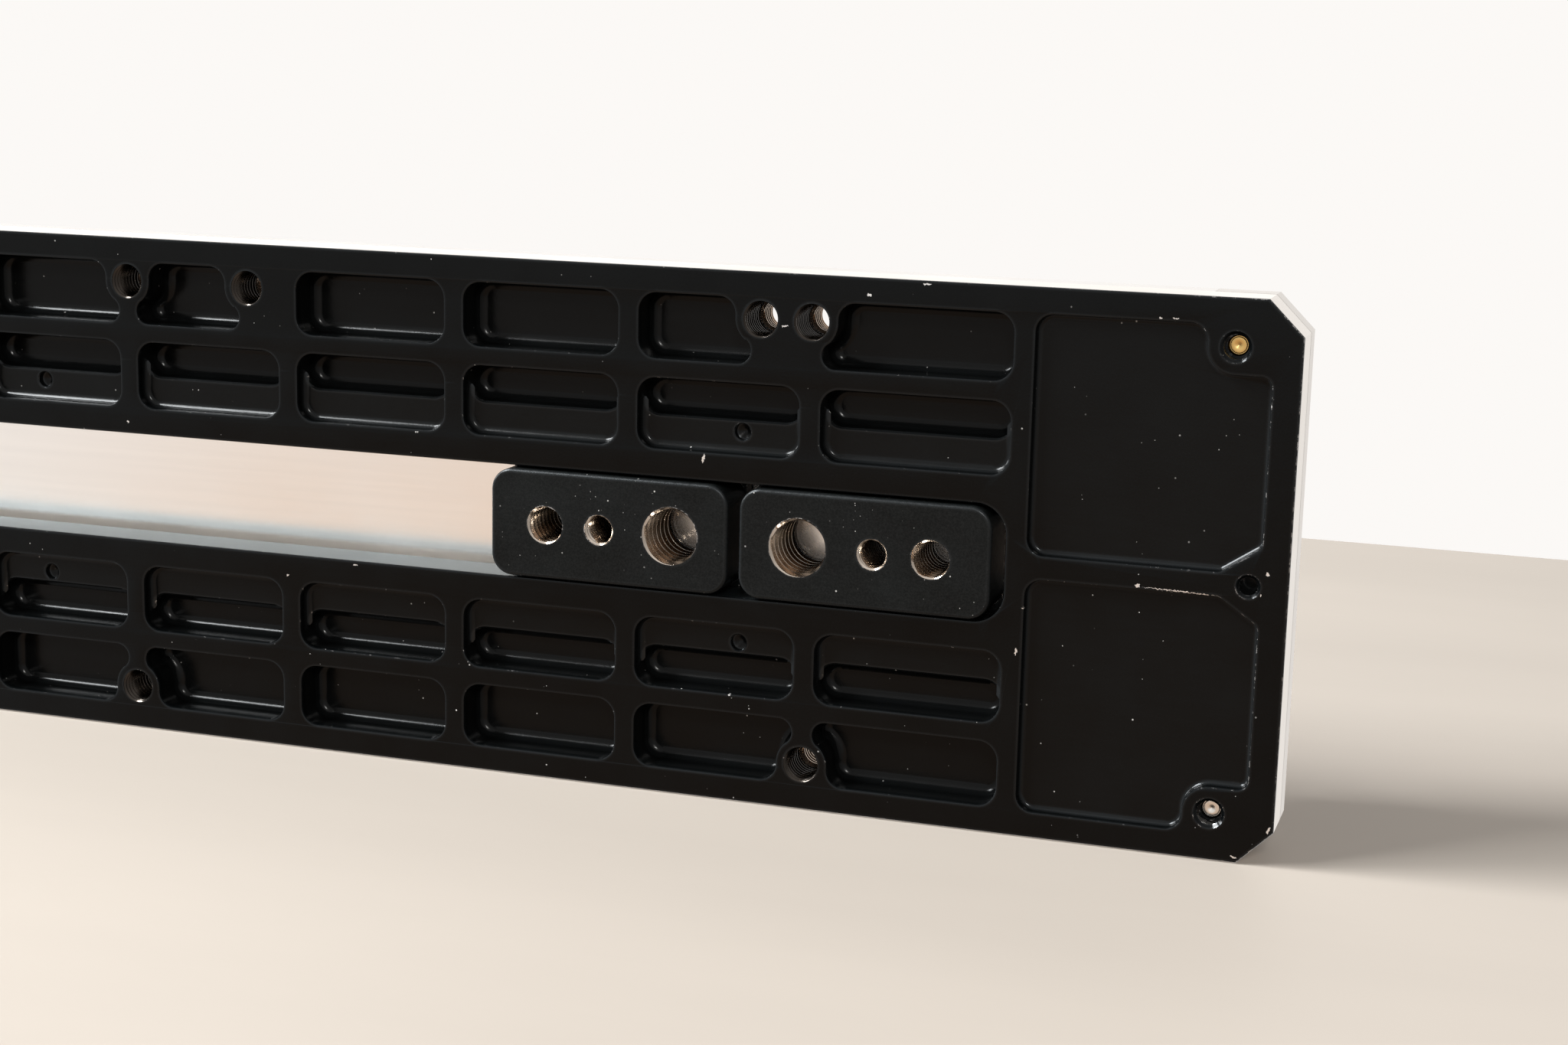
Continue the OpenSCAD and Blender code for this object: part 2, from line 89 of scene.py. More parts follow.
SAME_PLACE = 1e-3    # points nearer than this are one
STEP = 11.25         # degrees between the points of a rounded corner


def tidy(points):
    kept = []
    for p in points:
        if not kept or dist(p[:2], kept[-1][:2]) > SAME_PLACE:
            kept.append(p)
    if dist(kept[0][:2], kept[-1][:2]) < SAME_PLACE:
        kept.pop()
    return kept


def belt(discs, step=STEP):
    """Outline of a belt round discs (x, y, r, side): side 1 is inside the belt, -1 outside it."""
    legs = []
    for i, (xa, ya, ra, sa) in enumerate(discs):
        xb, yb, rb, sb = discs[(i + 1) % len(discs)]
        d = hypot(xb - xa, yb - ya)
        ux, uy = (xb - xa) / d, (yb - ya) / d
        c = max(-1.0, min(1.0, (sa * ra - sb * rb) / d))
        s = sqrt(1 - c * c)
        legs.append(atan2(c * uy - s * ux, c * ux + s * uy))
    points = []
    for i, (x, y, r, side) in enumerate(discs):
        turn = side * ((side * (legs[i] - legs[i - 1])) % tau)
        if abs(turn) > tau - 1e-6:
            turn = 0
        n = max(1, ceil(abs(degrees(turn)) / step - 1e-6))
        for j in range(n + 1):
            t = legs[i - 1] + turn * j / n
            points.append((x + side * r * cos(t), y + side * r * sin(t), cos(t), sin(t)))
    return tidy(points)


def rect(low, high, r, step=STEP):
    (x0, y0), (x1, y1) = (low[0] + r, low[1] + r), (high[0] - r, high[1] - r)
    return belt([(x0, y0, r, 1), (x1, y0, r, 1), (x1, y1, r, 1), (x0, y1, r, 1)], step)


def angles(n):
    return [tau * i / n for i in range(n)]


def circle(x, y, r, n=40):
    return [(x + r * cos(t), y + r * sin(t), cos(t), sin(t)) for t in angles(n)]


def polygon(corners):
    """Outline with sharp corners; a corner's normal is scaled so that an offset keeps the sides parallel."""
    n, points = len(corners), []
    for i, (x, y) in enumerate(corners):
        (ax, ay), (bx, by) = corners[i - 1], corners[(i + 1) % n]
        p, q = Vector((y - ay, ax - x)).normalized(), Vector((by - y, x - bx)).normalized()
        m = (p + q) / (1 + p.dot(q))
        points.append((x, y, m.x, m.y))
    return points


def box(x, y):
    return polygon([(-x, -y), (x, -y), (x, y), (-x, y)])


def cut_box(x, y, c):
    return polygon([(c - x, -y), (x - c, -y), (x, c - y), (x, y - c), (x - c, y), (c - x, y), (-x, y - c),
                    (-x, c - y)])


def flip(outline, sx=1, sy=1):
    points = [(x * sx, y * sy, nx * sx, ny * sy) for x, y, nx, ny in outline]
    return points[::-1] if sx * sy < 0 else points


def lobed(r, depth, lobes, sharp, n):
    """Round outline with scallops, for knobs and wheels."""
    points = []
    for t in angles(n):
        k = r - depth * (0.5 + 0.5 * cos(lobes * t)) ** sharp
        points.append((k * cos(t), k * sin(t), cos(t), sin(t)))
    return points


def quarter(n):
    return [pi / 2 * i / n for i in range(n + 1)]


def rounded(z0, r, n):
    """Steps round the edge of a face at z0."""
    return [(-r * (1 - sin(a)), z0 + r * (1 - cos(a))) for a in quarter(n)]


def fillet(floor, r, n):
    """Steps round the foot of a wall into a floor."""
    return [(-r * (1 - cos(a)), floor - r + r * sin(a)) for a in quarter(n)]


def even(low, total, middle=()):
    """Steps or a profile whose upper half mirrors this lower half; total is lowest plus highest z."""
    return [*low, *middle, *((o, total - z) for o, z in reversed(low))]


def edged(z0, z1, e, n=2):
    """Steps up the side of a plate with both edges rounded to e."""
    return even(rounded(z0, e, n), z0 + z1)


def bored(z0, z1, e):
    """Steps through a hole with a small chamfer at each end."""
    return even([(e, z0), (0, z0 + e)], z0 + z1)


# ------------ surfaces

def placed(name, data):
    """A new object in the scene."""
    thing = bpy.data.objects.new(name, data)
    bpy.context.scene.collection.objects.link(thing)
    return thing


class Shell:
    """A surface in millimetres, made of rings joined by walls and closed by caps."""

    def __init__(self, place=SAME):
        self.bm = bmesh.new()
        self.place = place
        self.flat = {}    # each vertex's x and y before it was placed

    def vert(self, x, y, z):
        v = self.bm.verts.new(self.place @ Vector((x, y, z)))
        self.flat[v] = (x, y)
        return v

    def ring(self, outline, off=0.0, z=0.0):
        return [self.vert(x + nx * off, y + ny * off, z) for x, y, nx, ny in outline]

    def face(self, verts, slot):
        if len(set(verts)) == len(verts):
            f = self.bm.faces.new(verts)
            f.material_index = slot
            f.smooth = True

    def wall(self, a, b, slot=0, closed=True):
        for i in range(len(a) if closed else len(a) - 1):
            j = (i + 1) % len(a)
            self.face((a[i], a[j], b[j], b[i]), slot)

    def walls(self, rings, slot=0, closed=True):
        for a, b in zip(rings, rings[1:]):
            self.wall(a, b, slot, closed)
        return rings[0], rings[-1]

    def sweep(self, outline, steps, slot=0):
        return self.walls([self.ring(outline, off, z) for off, z in steps], slot)

    def pocket(self, outline, steps):
        """A recess or blind hole; returns its rim."""
        rim, floor = self.sweep(outline, steps)
        self.cap([floor])
        return rim

    def cap(self, rings, slot=0):
        flat = [[Vector((*self.flat[v], 0)) for v in ring] for ring in rings]
        verts = [v for ring in rings for v in ring]
        for t in tessellate_polygon(flat):
            self.face([verts[i] for i in t], slot)

    def fan(self, ring, z, slot=0):
        n = len(ring)
        x, y = (sum(self.flat[v][k] for v in ring) / n for k in (0, 1))
        tip = self.vert(x, y, z)
        for i in range(n):
            self.face((ring[i], ring[(i + 1) % n], tip), slot)

    def turn(self, profile, n=48, slot=0, at=(0, 0)):
        """Solid of revolution round the local z axis; profile is (r, z), from axis to axis or closed."""
        rings = [self.ring(circle(*at, 1, n), r - 1, z) if r > 1e-6 else None for r, z in profile]
        for a, b, (_, za), (_, zb) in zip(rings, rings[1:], profile, profile[1:]):
            if a and b:
                self.wall(a, b, slot)
            elif a or b:
                self.fan(a or b, zb if a else za, slot)
        if rings[0] and rings[-1]:
            self.wall(rings[-1], rings[0], slot)

    def helix(self, at, z0, z1, crest, root, pitch, mouth=0.0, n=44, slot=0, ends=(True, False)):
        """Threaded wall. mouth widens a hole (or narrows a screw, below zero) at the given ends."""
        flat, rise = 0.15, 0.35    # shares of the pitch: crest and root, and each flank
        turns = ceil((z1 - z0) / pitch) + 2
        marks = [k + q for k in range(-1, turns) for q in (0, flat, flat + rise, 1 - rise)]

        def radius(z, t):
            p = (z / pitch - t / tau) % 1
            up = min(max((p - flat) / rise, 0), 1) if p < 1 - rise else (1 - p) / rise
            r = crest + (root - crest) * up
            for here, end, way in ((ends[0], z0, 1), (ends[1], z1, -1)):
                if here and mouth:
                    cone = crest + mouth - copysign(1, mouth) * way * (z - end)
                    r = max(r, cone) if mouth > 0 else min(r, cone)
            return r

        base = z0 // pitch * pitch
        columns = []
        for t in angles(n):
            column = []
            for m in marks:
                z = min(max(base + pitch * (m + t / tau), z0), z1)
                r = radius(z, t)
                column.append(self.vert(at[0] + r * cos(t), at[1] + r * sin(t), z))
            columns.append(column)
        first, last = self.walls(columns, slot, closed=False)
        self.wall(last[:-4], first[4:], slot, closed=False)    # the last column meets the first one turn on
        for k in range(4):
            self.face((last[-4 + k - 1], last[-4 + k], first[-1]), slot)
            self.face((first[k], first[k + 1], last[0]), slot)
        return [c[0] for c in columns], [c[-1] for c in columns]

    def hexagon(self, r, z, depth, at=(0, 0)):
        """Hexagonal recess in a face at z; returns its rim, which the caller's cap takes as a hole."""
        corners = polygon([p[:2] for p in circle(*at, r, 6)])
        rim, floor = self.sweep(corners, [(0.12, z), (0, z - 0.12), (0, z - depth)])
        self.fan(floor, z - (depth + 0.3 * r))
        return rim

    def plate(self, outline, z0, z1, edge, cuts=(), high=()):
        """cuts are (outline, steps) of through holes; high are rims of recesses in the top."""
        bottom, top = self.sweep(outline, edged(z0, z1, edge))
        lows, highs = [bottom], [top, *high]
        for cut, steps in cuts:
            a, b = self.sweep(cut, steps)
            lows.append(a)
            highs.append(b)
        self.cap(lows)
        self.cap(highs)

    def done(self, node, finish, *looks):
        """Makes the piece that takes the node's place."""
        bmesh.ops.remove_doubles(self.bm, verts=self.bm.verts, dist=2e-4)
        bmesh.ops.dissolve_degenerate(self.bm, edges=self.bm.edges, dist=1e-5)
        bmesh.ops.recalc_face_normals(self.bm, faces=self.bm.faces)
        bmesh.ops.scale(self.bm, vec=(MM, MM, MM), verts=self.bm.verts)
        name = node + "_" + finish
        mesh = bpy.data.meshes.new(name)
        self.bm.to_mesh(mesh)
        self.bm.free()
        mesh.set_sharp_from_angle(angle=radians(32))
        for look in looks:
            mesh.materials.append(look)
        piece = placed(name, mesh)
        weighted = piece.modifiers.new("weighted_normals", "WEIGHTED_NORMAL")
        weighted.keep_sharp = True
        weighted.weight = 60
        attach(piece, BODY[node])
        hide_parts(node)


# ------------ materials

class Nodes:
    """Short forms for the nodes of a tree."""

    def __init__(self, tree):
        self.tree = tree

    def node(self, kind, inputs=None, **props):
        n = self.tree.nodes.new("ShaderNode" + kind)
        for key, value in props.items():
            setattr(n, key, value)
        for key, value in (inputs or {}).items():
            if isinstance(value, bpy.types.NodeSocket):
                self.tree.links.new(value, n.inputs[key])
            else:
                n.inputs[key].default_value = value
        return n

    def span(self, value, low, high, to=(0.0, 1.0)):
        inputs = {"Value": value, "From Min": low, "From Max": high, "To Min": to[0], "To Max": to[1]}
        return self.node("MapRange", inputs).outputs[0]

    def math(self, operation, a, b=0):
        return self.node("Math", {0: a, 1: b}, operation=operation).outputs[0]

    def times(self, a, b):
        return self.math("MULTIPLY", a, b)

    def plus(self, a, b):
        return self.math("ADD", a, b)

    def most(self, a, b):
        return self.math("MAXIMUM", a, b)

    def vector(self, operation, inputs, output=0):
        return self.node("VectorMath", inputs, operation=operation).outputs[output]

    def lerp(self, factor, a, b):
        return self.node("Mix", {0: factor, 2: a, 3: b}).outputs[0]

    def mix(self, factor, a, b):
        a, b = (v if isinstance(v, bpy.types.NodeSocket) else (*v, 1) for v in (a, b))
        return self.node("Mix", {0: factor, 6: a, 7: b}, data_type="RGBA").outputs[2]


class Look(Nodes):
    """A node material. Its lengths are in millimetres of the object, apart from those on an axis."""

    def __init__(self, name, **fixed):
        self.mat = bpy.data.materials.new(name)
        self.mat.use_nodes = True
        super().__init__(self.mat.node_tree)
        self.shader = self.tree.nodes["Principled BSDF"]
        for key, value in fixed.items():
            self.shader.inputs[key.replace("_", " ")].default_value = value
        self.place = self.node("TexCoord").outputs["Object"]

    def scaled(self, grain, stretch=(1, 1, 1)):
        scale = [1 / (MM * grain * s) for s in stretch]
        return self.node("Mapping", {"Vector": self.place, "Scale": scale}).outputs[0]

    def texture(self, grain, detail, stretch=(1, 1, 1), rough=0.5):
        return self.node("TexNoise",
                         {"Vector": self.scaled(grain, stretch), "Scale": 1.0, "Detail": detail, "Roughness": rough})

    def noise(self, grain, detail=3.0, stretch=(1, 1, 1), rough=0.5):
        return self.texture(grain, detail, stretch, rough).outputs["Fac"]

    def patches(self, grain, detail, low, high, to=(0.0, 1.0), **other):
        """Noise, with its values from low to high spread over the range to."""
        return self.span(self.noise(grain, detail, **other), low, high, to)

    def specks(self, grain, radius, keep):
        """Small spots, radius and keep as shares of the cell: 1 on a spot, 0 elsewhere."""
        cell = self.node("TexVoronoi", {"Vector": self.scaled(grain), "Scale": 1.0})
        spot = self.span(cell.outputs["Distance"], radius, radius * 0.6)
        pick = self.node("SeparateColor", {"Color": cell.outputs["Color"]}).outputs[0]
        return self.times(spot, self.span(pick, 1 - keep, 1 - keep + 0.02))

    def axis(self, k):
        """Coordinate k of the place, in metres."""
        return self.node("SeparateXYZ", {0: self.place}).outputs[k]

    def mark(self, x, y, length, width, turn=0.0):
        """1 in a ragged spot of this length and width on the underside, 0 elsewhere."""
        shake = self.vector("SUBTRACT", {0: self.texture(0.35, 2.0).outputs["Color"], 1: (0.5, 0.5, 0.5)})
        shake = self.vector("SCALE", {0: shake, "Scale": 0.6 * MM})
        where = self.vector("ADD", {0: self.place, 1: shake})
        local = self.node("Mapping",
                          {"Vector": where, "Location": (x * MM, y * MM, 0), "Rotation": (0, 0, radians(turn)),
                           "Scale": (length * MM / 2, width * MM / 2, 0.8 * MM)}, vector_type="TEXTURE").outputs[0]
        return self.span(self.vector("LENGTH", {0: local}, "Value"), 1.0, 0.8)

    def edges(self, radius, low=0.985, high=0.86):
        """1 on outer and inner edges, 0 on flat ground."""
        soft = self.node("Bevel", {"Radius": radius * MM}, samples=4).outputs[0]
        true = self.node("NewGeometry").outputs["Normal"]
        return self.span(self.vector("DOT_PRODUCT", {0: soft, 1: true}, "Value"), low, high)

    def bump(self, *layers):
        """layers are (height socket, height)."""
        normal = None
        for height, amount in layers:
            n = self.node("Bump", {"Height": height, "Distance": amount * MM, "Strength": 1.0})
            if normal:
                self.tree.links.new(normal, n.inputs["Normal"])
            normal = n.outputs[0]
        self.put("Normal", normal)

    def put(self, key, socket):
        self.tree.links.new(socket, self.shader.inputs[key])


def shade(colour, factor, plus=0.0):
    return [min(1, c * factor + plus) for c in colour]


DUST = (0.5, 0.5, 0.48)
LINT = (0.5, 0.49, 0.47)
CHIPPED = (0.6, 0.59, 0.58)    # bare aluminium under the film
# painted sheen: the lighter colour of rims and fillets on black anodising
SHEEN_BLACK = (0.019, 0.021, 0.0225)
# painted light: the lighter tone mixed into the floors of the pockets
POCKET_FLOOR_LIGHT = (0.26, 0.25, 0.235)
PAINTED_SHADE = (0.26, 0.3, 0.33)      # share of each colour left in a gap or recess: painted shade, cooled to a bluish grey
STAIN = (0.12, 0.1, 0.09)
# painted shade: the brown darkening deep in a threaded hole
PAINTED_HOLE_SHADE = (0.13, 0.105, 0.08)


def anodised(name, base, rough, chips=0.62, dust=0.5, grain=0.35, marks=(), sunk=None, film_dust=0.006, **fixed):
    """Black anodised aluminium: satin film, bare metal on worn edges and in the marks, some dust, a painted sheen on
    rims and fillets and, with sunk, painted light on the pocket floors.
    """
    look = Look(name, **fixed)
    cloud = look.noise(9, 4)
    tone = look.mix(look.span(cloud, 0.3, 0.7), shade(base, 0.75), shade(base, 1.3))
    # rims and corners are a little lighter in patches: partly wear of the film and partly a painted highlight
    edge = look.times(look.edges(0.3, 0.995, 0.9), look.patches(6, 4, 0.3, 0.7, (0.25, 1.0)))
    tone = look.mix(edge, tone, shade(base, 2, 0.004))
    sheen_edges = look.edges(0.6, 0.998, 0.95)    # rims and fillets are smoother, and are painted lighter and more metallic: a painted sheen that catches the light
    tone = look.mix(sheen_edges, tone, SHEEN_BLACK)
    # the last 28 mm of the long plate are worn more
    ends = look.span(look.math("ABSOLUTE", look.axis(0)), 0.27, 0.298, (0.0, 0.1))
    chipped = look.span(look.plus(look.noise(1.1, 5, rough=0.7), ends), chips, chips + 0.05)
    areas = look.span(look.plus(look.noise(14, 2), ends), 0.42, 0.6)
    worn = look.times(look.times(look.edges(0.22), chipped), areas)
    for mark in marks:
        worn = look.most(worn, look.mark(*mark))
    tone = look.mix(worn, tone, CHIPPED)
    tone = look.mix(look.patches(0.3, 5, 0.4, 0.8, (0.0, film_dust), rough=0.75), tone, DUST)
    spots = look.times(look.specks(2.2, 0.07, dust * 0.5), look.patches(20, 2, 0.4, 0.65))
    fluff = look.times(look.specks(0.9, 0.1, dust * 0.2), look.patches(15, 2, 0.5, 0.7))
    tone = look.mix(look.times(look.most(spots, fluff), 0.8), tone, LINT)
    film = look.plus(look.span(cloud, 0.25, 0.75, (rough * 0.85, rough * 1.15)),
                     look.patches(0.9, 4, 0.3, 0.7, (-0.03, 0.03), stretch=(8, 1, 1)))
    if sunk:    # the floors of the pockets keep the rougher finish of the cutter and are painted a little lighter: painted light
        deep = look.span(look.axis(2), 0.0009, 0.0016)
        film = look.plus(film, look.times(deep, sunk - rough))
        tone = look.mix(look.times(deep, 0.003), tone, POCKET_FLOOR_LIGHT)
    look.put("Base Color", tone)
    look.put("Roughness", look.lerp(sheen_edges, film, look.patches(0.8, 3, 0.3, 0.7, (rough * 0.55, rough * 1.2))))
    # worn metal and the painted sheen of rims and fillets are metallic
    look.put("Metallic", look.times(look.most(worn, sheen_edges), 0.8))
    look.bump((look.noise(grain, 3), 0.008), (look.noise(2.2, 3), 0.008))
    return look.mat


def brushed(name, base, rough, along=(40, 1, 1), depth=0.0, shade_reach=0.0):
    """Metal with fine lines; the last argument is how far the occlusion test reaches, within which gaps and recesses
    get painted shade.
    """
    look = Look(name, Metallic=1.0)
    grain = 0.12
    lines = look.noise(grain, 3, along)
    tone = look.mix(look.patches(grain * 9, 3, 0.3, 0.7, stretch=along), shade(base, 0.985), shade(base, 1.01))
    if shade_reach:
        # painted shade: darker where the surface is hemmed in by walls, as in gaps and under the blocks
        open_sky = look.node("AmbientOcclusion", {"Distance": shade_reach * MM}, samples=4).outputs["AO"]
        tone = look.mix(look.span(open_sky, 0.3, 0.02), tone, [c * t for c, t in zip(base, PAINTED_SHADE)])
    look.put("Base Color", tone)
    look.put("Roughness",
             look.plus(look.span(lines, 0.25, 0.75, (rough - 0.02, rough + 0.02)),
                       look.patches(18, 3, 0.35, 0.7, (-0.02, 0.03))))
    if depth:
        look.bump((lines, depth))
    return look.mat


def steel(name, base, rough, spots=0.4, depth=None):
    """Turned or ground steel with faint stains; depth is the (low, high) z over which a thread is painted darker and
    browner: painted shade deep in the hole.
    """
    look = Look(name, Metallic=1.0)
    tone = look.mix(look.patches(7, 3, 0.35, 0.75), base, shade(base, 0.92))
    tone = look.mix(look.times(look.specks(1.4, 0.1, spots * 0.3), 0.6), tone, STAIN)
    if depth:
        # painted shade: darker and browner deeper in the hole
        tone = look.mix(look.span(look.axis(2), *depth), tone, PAINTED_HOLE_SHADE)
    look.put("Base Color", tone)
    look.put("Roughness", look.patches(3, 4, 0.3, 0.7, (rough * 0.85, rough * 1.2)))
    look.bump((look.noise(0.25, 2), 0.0015))
    return look.mat


def moulded(name, base, rough, grain=0.25, height=0.02, **fixed):
    """Rubber or plastic with a fine texture and handling marks."""
    look = Look(name, **fixed)
    cloud = look.noise(7, 3)
    tone = look.mix(look.span(cloud, 0.3, 0.7), shade(base, 0.8), shade(base, 1.25))
    rubbed = look.times(look.edges(0.35), look.patches(1.6, 4, 0.5, 0.62))
    tone = look.mix(look.times(rubbed, 0.35), tone, shade(base, 3, 0.02))
    tone = look.mix(look.times(look.specks(1.9, 0.05, 0.25), 0.5), tone, (0.4, 0.39, 0.37))
    look.put("Base Color", tone)
    look.put("Roughness", look.span(cloud, 0.3, 0.7, (rough * 0.88, rough * 1.1)))
    look.bump((look.noise(grain, 2), height), (look.noise(grain * 6, 3), height / 3))
    return look.mat


# chips and scratches of the underside: x, y, length, width and, for some, the turn in degrees
CHIPS = [(236.5, -37.5, 0.7, 0.35), (211.7, -12, 0.3, 1.6, 12), (224, -32.3, 1.2, 0.2, -8), (277, 1.2, 0.7, 0.5),
         (283, 1.5, 11, 0.12, 1.5), (260.8, 6, 0.5, 0.2), (260, 12.5, 0.25, 1.0, 10), (216.5, 23.6, 0.35, 0.25),
         (287.6, -28.6, 1.1, 0.35, 5), (278.3, -36.6, 0.35, 0.3), (280.4, -36.7, 1.0, 0.15, 8),
         (294, -25.4, 0.35, 0.3), (295, -2, 0.4, 0.6), (294.2, 1, 0.2, 0.35), (245, -39.5, 1.3, 0.25),
         (154, 9.3, 0.8, 0.2), (142, 12, 0.4, 0.35), (113.5, -10.5, 0.35, 0.35), (292.6, 39.2, 1.0, 0.3, 20),
         (297.3, 34.6, 0.3, 1.2, 20)]
BLACK = anodised("anodised_black", (0.0006, 0.0008, 0.0009), 0.155, dust=0.4, marks=CHIPS, sunk=0.2, film_dust=0.0015,
                 Specular_IOR_Level=0.11)
BLOCK = anodised("anodised_matte", (0.0014, 0.0019, 0.002), 0.36, chips=0.5, dust=2.2, film_dust=0.01, grain=0.2,
                 Specular_IOR_Level=0.1)
DECK = anodised("anodised_blasted", (0.007, 0.0072, 0.0076), 0.38, grain=0.22, Specular_IOR_Level=0.25)
ACROSS = (1, 40, 1)
# the channel floor gets painted shade near its walls and under the blocks
SILVER = brushed("silver_brushed", (0.91, 0.89, 0.865), 0.22, shade_reach=7.0)
# the warm tint of this silver is a painted reflection of the wooden table
CAP = brushed("silver_ends", (0.85, 0.815, 0.775), 0.34, ACROSS, depth=0.002)
# bare metal of the slot's long sides, painted dark and bluish: a painted reflection of cool light
RUBBED_PAINTED_REFLECTION = brushed("slot_side_rubbed_painted_reflection", (0.115, 0.142, 0.153), 0.33, depth=0.001)
# the orange tint of this silver thread is a painted reflection of the wooden table
THREAD = steel("thread_silver", (0.8, 0.66, 0.54), 0.2, spots=0)
TAPPED = steel("worn_thread", (0.045, 0.039, 0.034), 0.2, spots=0)
# the warm tint of this thread is a painted reflection of the wooden table; depth adds painted shade deeper in the
# holes
BARE = steel("bare_thread", (0.58, 0.51, 0.44), 0.13, spots=0, depth=(0.0, 0.007))
SATIN = brushed("silver_satin", (0.52, 0.515, 0.505), 0.3, depth=0.002)
MILLED = brushed("silver_milled", (0.70, 0.67, 0.635), 0.3, ACROSS, depth=0.002)
RAIL = steel("rail_steel", (0.5, 0.51, 0.53), 0.09, spots=0.1)
BEARING = steel("bearing_steel", (0.62, 0.63, 0.65), 0.2, spots=0.2)
NICKEL = steel("nickel", (0.72, 0.70, 0.66), 0.24)
OXIDE = steel("black_oxide", (0.035, 0.035, 0.037), 0.36)
BRASS = steel("brass", (0.66, 0.45, 0.17), 0.28)
RUBBER = moulded("rubber", (0.012, 0.012, 0.012), 0.75, 0.3, 0.03, Specular_IOR_Level=0.3)
PLASTIC = moulded("knob_plastic", (0.012, 0.012, 0.013), 0.5, 0.2, 0.012)
NYLON = moulded("nylon", (0.72, 0.70, 0.64), 0.4, 0.3, 0.008, Subsurface_Weight=0.1)

# ------------ base plate

HALF_L, HALF_W, BASE_T = size("base_plate")[1]
RIB_PITCH, RIB_T = 28.5, 3.3
FIELD_X = HALF_L - 40.2              # where the slot and the pockets end
LAST = int((FIELD_X - 12) // RIB_PITCH)
HOLE_Y, BOSS_R, TOOL_R, POCKET_R = 33.1, 4.0, 2.5, 2.8
INNER = (12.9, 17.8, 23.5)           # y of the inner pockets: shelf, deep part, far wall
OUTER = (26.4, 36.1)
DEEP, SHELF, PANEL = 5.8, 2.2, 1.8   # depths
RIM = 0.26                           # broken edge of a pocket
SLOT_HALF_W = 8.65
RIB_HOLES = [k * RIB_PITCH for k in range(-LAST, LAST + 1, 4)]
EXTRA_HOLES = [HALF_L - 77.8, HALF_L - 162.5]
DIMPLES = [s * (HALF_L - x) for s in (-1, 1) for x in (81, 201.3)]
HOLES = [(x, s * HOLE_Y) for x in RIB_HOLES for s in (-1, 1)]
HOLES += [(s * x, -HOLE_Y) for x in EXTRA_HOLES for s in (-1, 1)]
CORNERS = [(sx, sy) for sx in (-1, 1) for sy in (-1, 1)]
SCREW_X, SCREW_Y = HALF_L - 9.2, 33.2    # the corner screws
BROKEN = [(RIM, 0), (RIM * 0.3, RIM * 0.3), (0, RIM)]


def column(k):
    low = -FIELD_X if k == -LAST - 1 else k * RIB_PITCH + RIB_T / 2
    high = FIELD_X if k == LAST else (k + 1) * RIB_PITCH - RIB_T / 2
    return low, high


def outer_pocket(low, high, extras):
    """Outline of a pocket beside the plate's edge, cut back round the bosses of the accessory holes."""
    y0, y1 = OUTER
    small, past_hole = 2.0, 1.5
    rise = y1 - TOOL_R - HOLE_Y
    run = sqrt((BOSS_R + TOOL_R) ** 2 - rise ** 2)
    left = [x for x in RIB_HOLES if abs(x + RIB_T / 2 - low) < 0.1]
    right = [x for x in RIB_HOLES if abs(x - RIB_T / 2 - high) < 0.1]
    if extras:
        for x in EXTRA_HOLES:
            if low < x < high:
                right, high = [x], x - past_hole
            if low < -x < high:
                left, low = [-x], past_hole - x
    discs = []
    for holes, wall, s in ((left, low, -1), (right, high, 1)):
        if holes:
            side = [(wall - s * small, y0 + small, small, 1), (holes[0], HOLE_Y, BOSS_R, -1),
                    (holes[0] - s * run, y1 - TOOL_R, TOOL_R, 1)]
        else:
            side = [(wall - s * POCKET_R, y, POCKET_R, 1) for y in (y0 + POCKET_R, y1 - POCKET_R)]
        discs += side[::-1] if s < 0 else side
    return belt(discs)


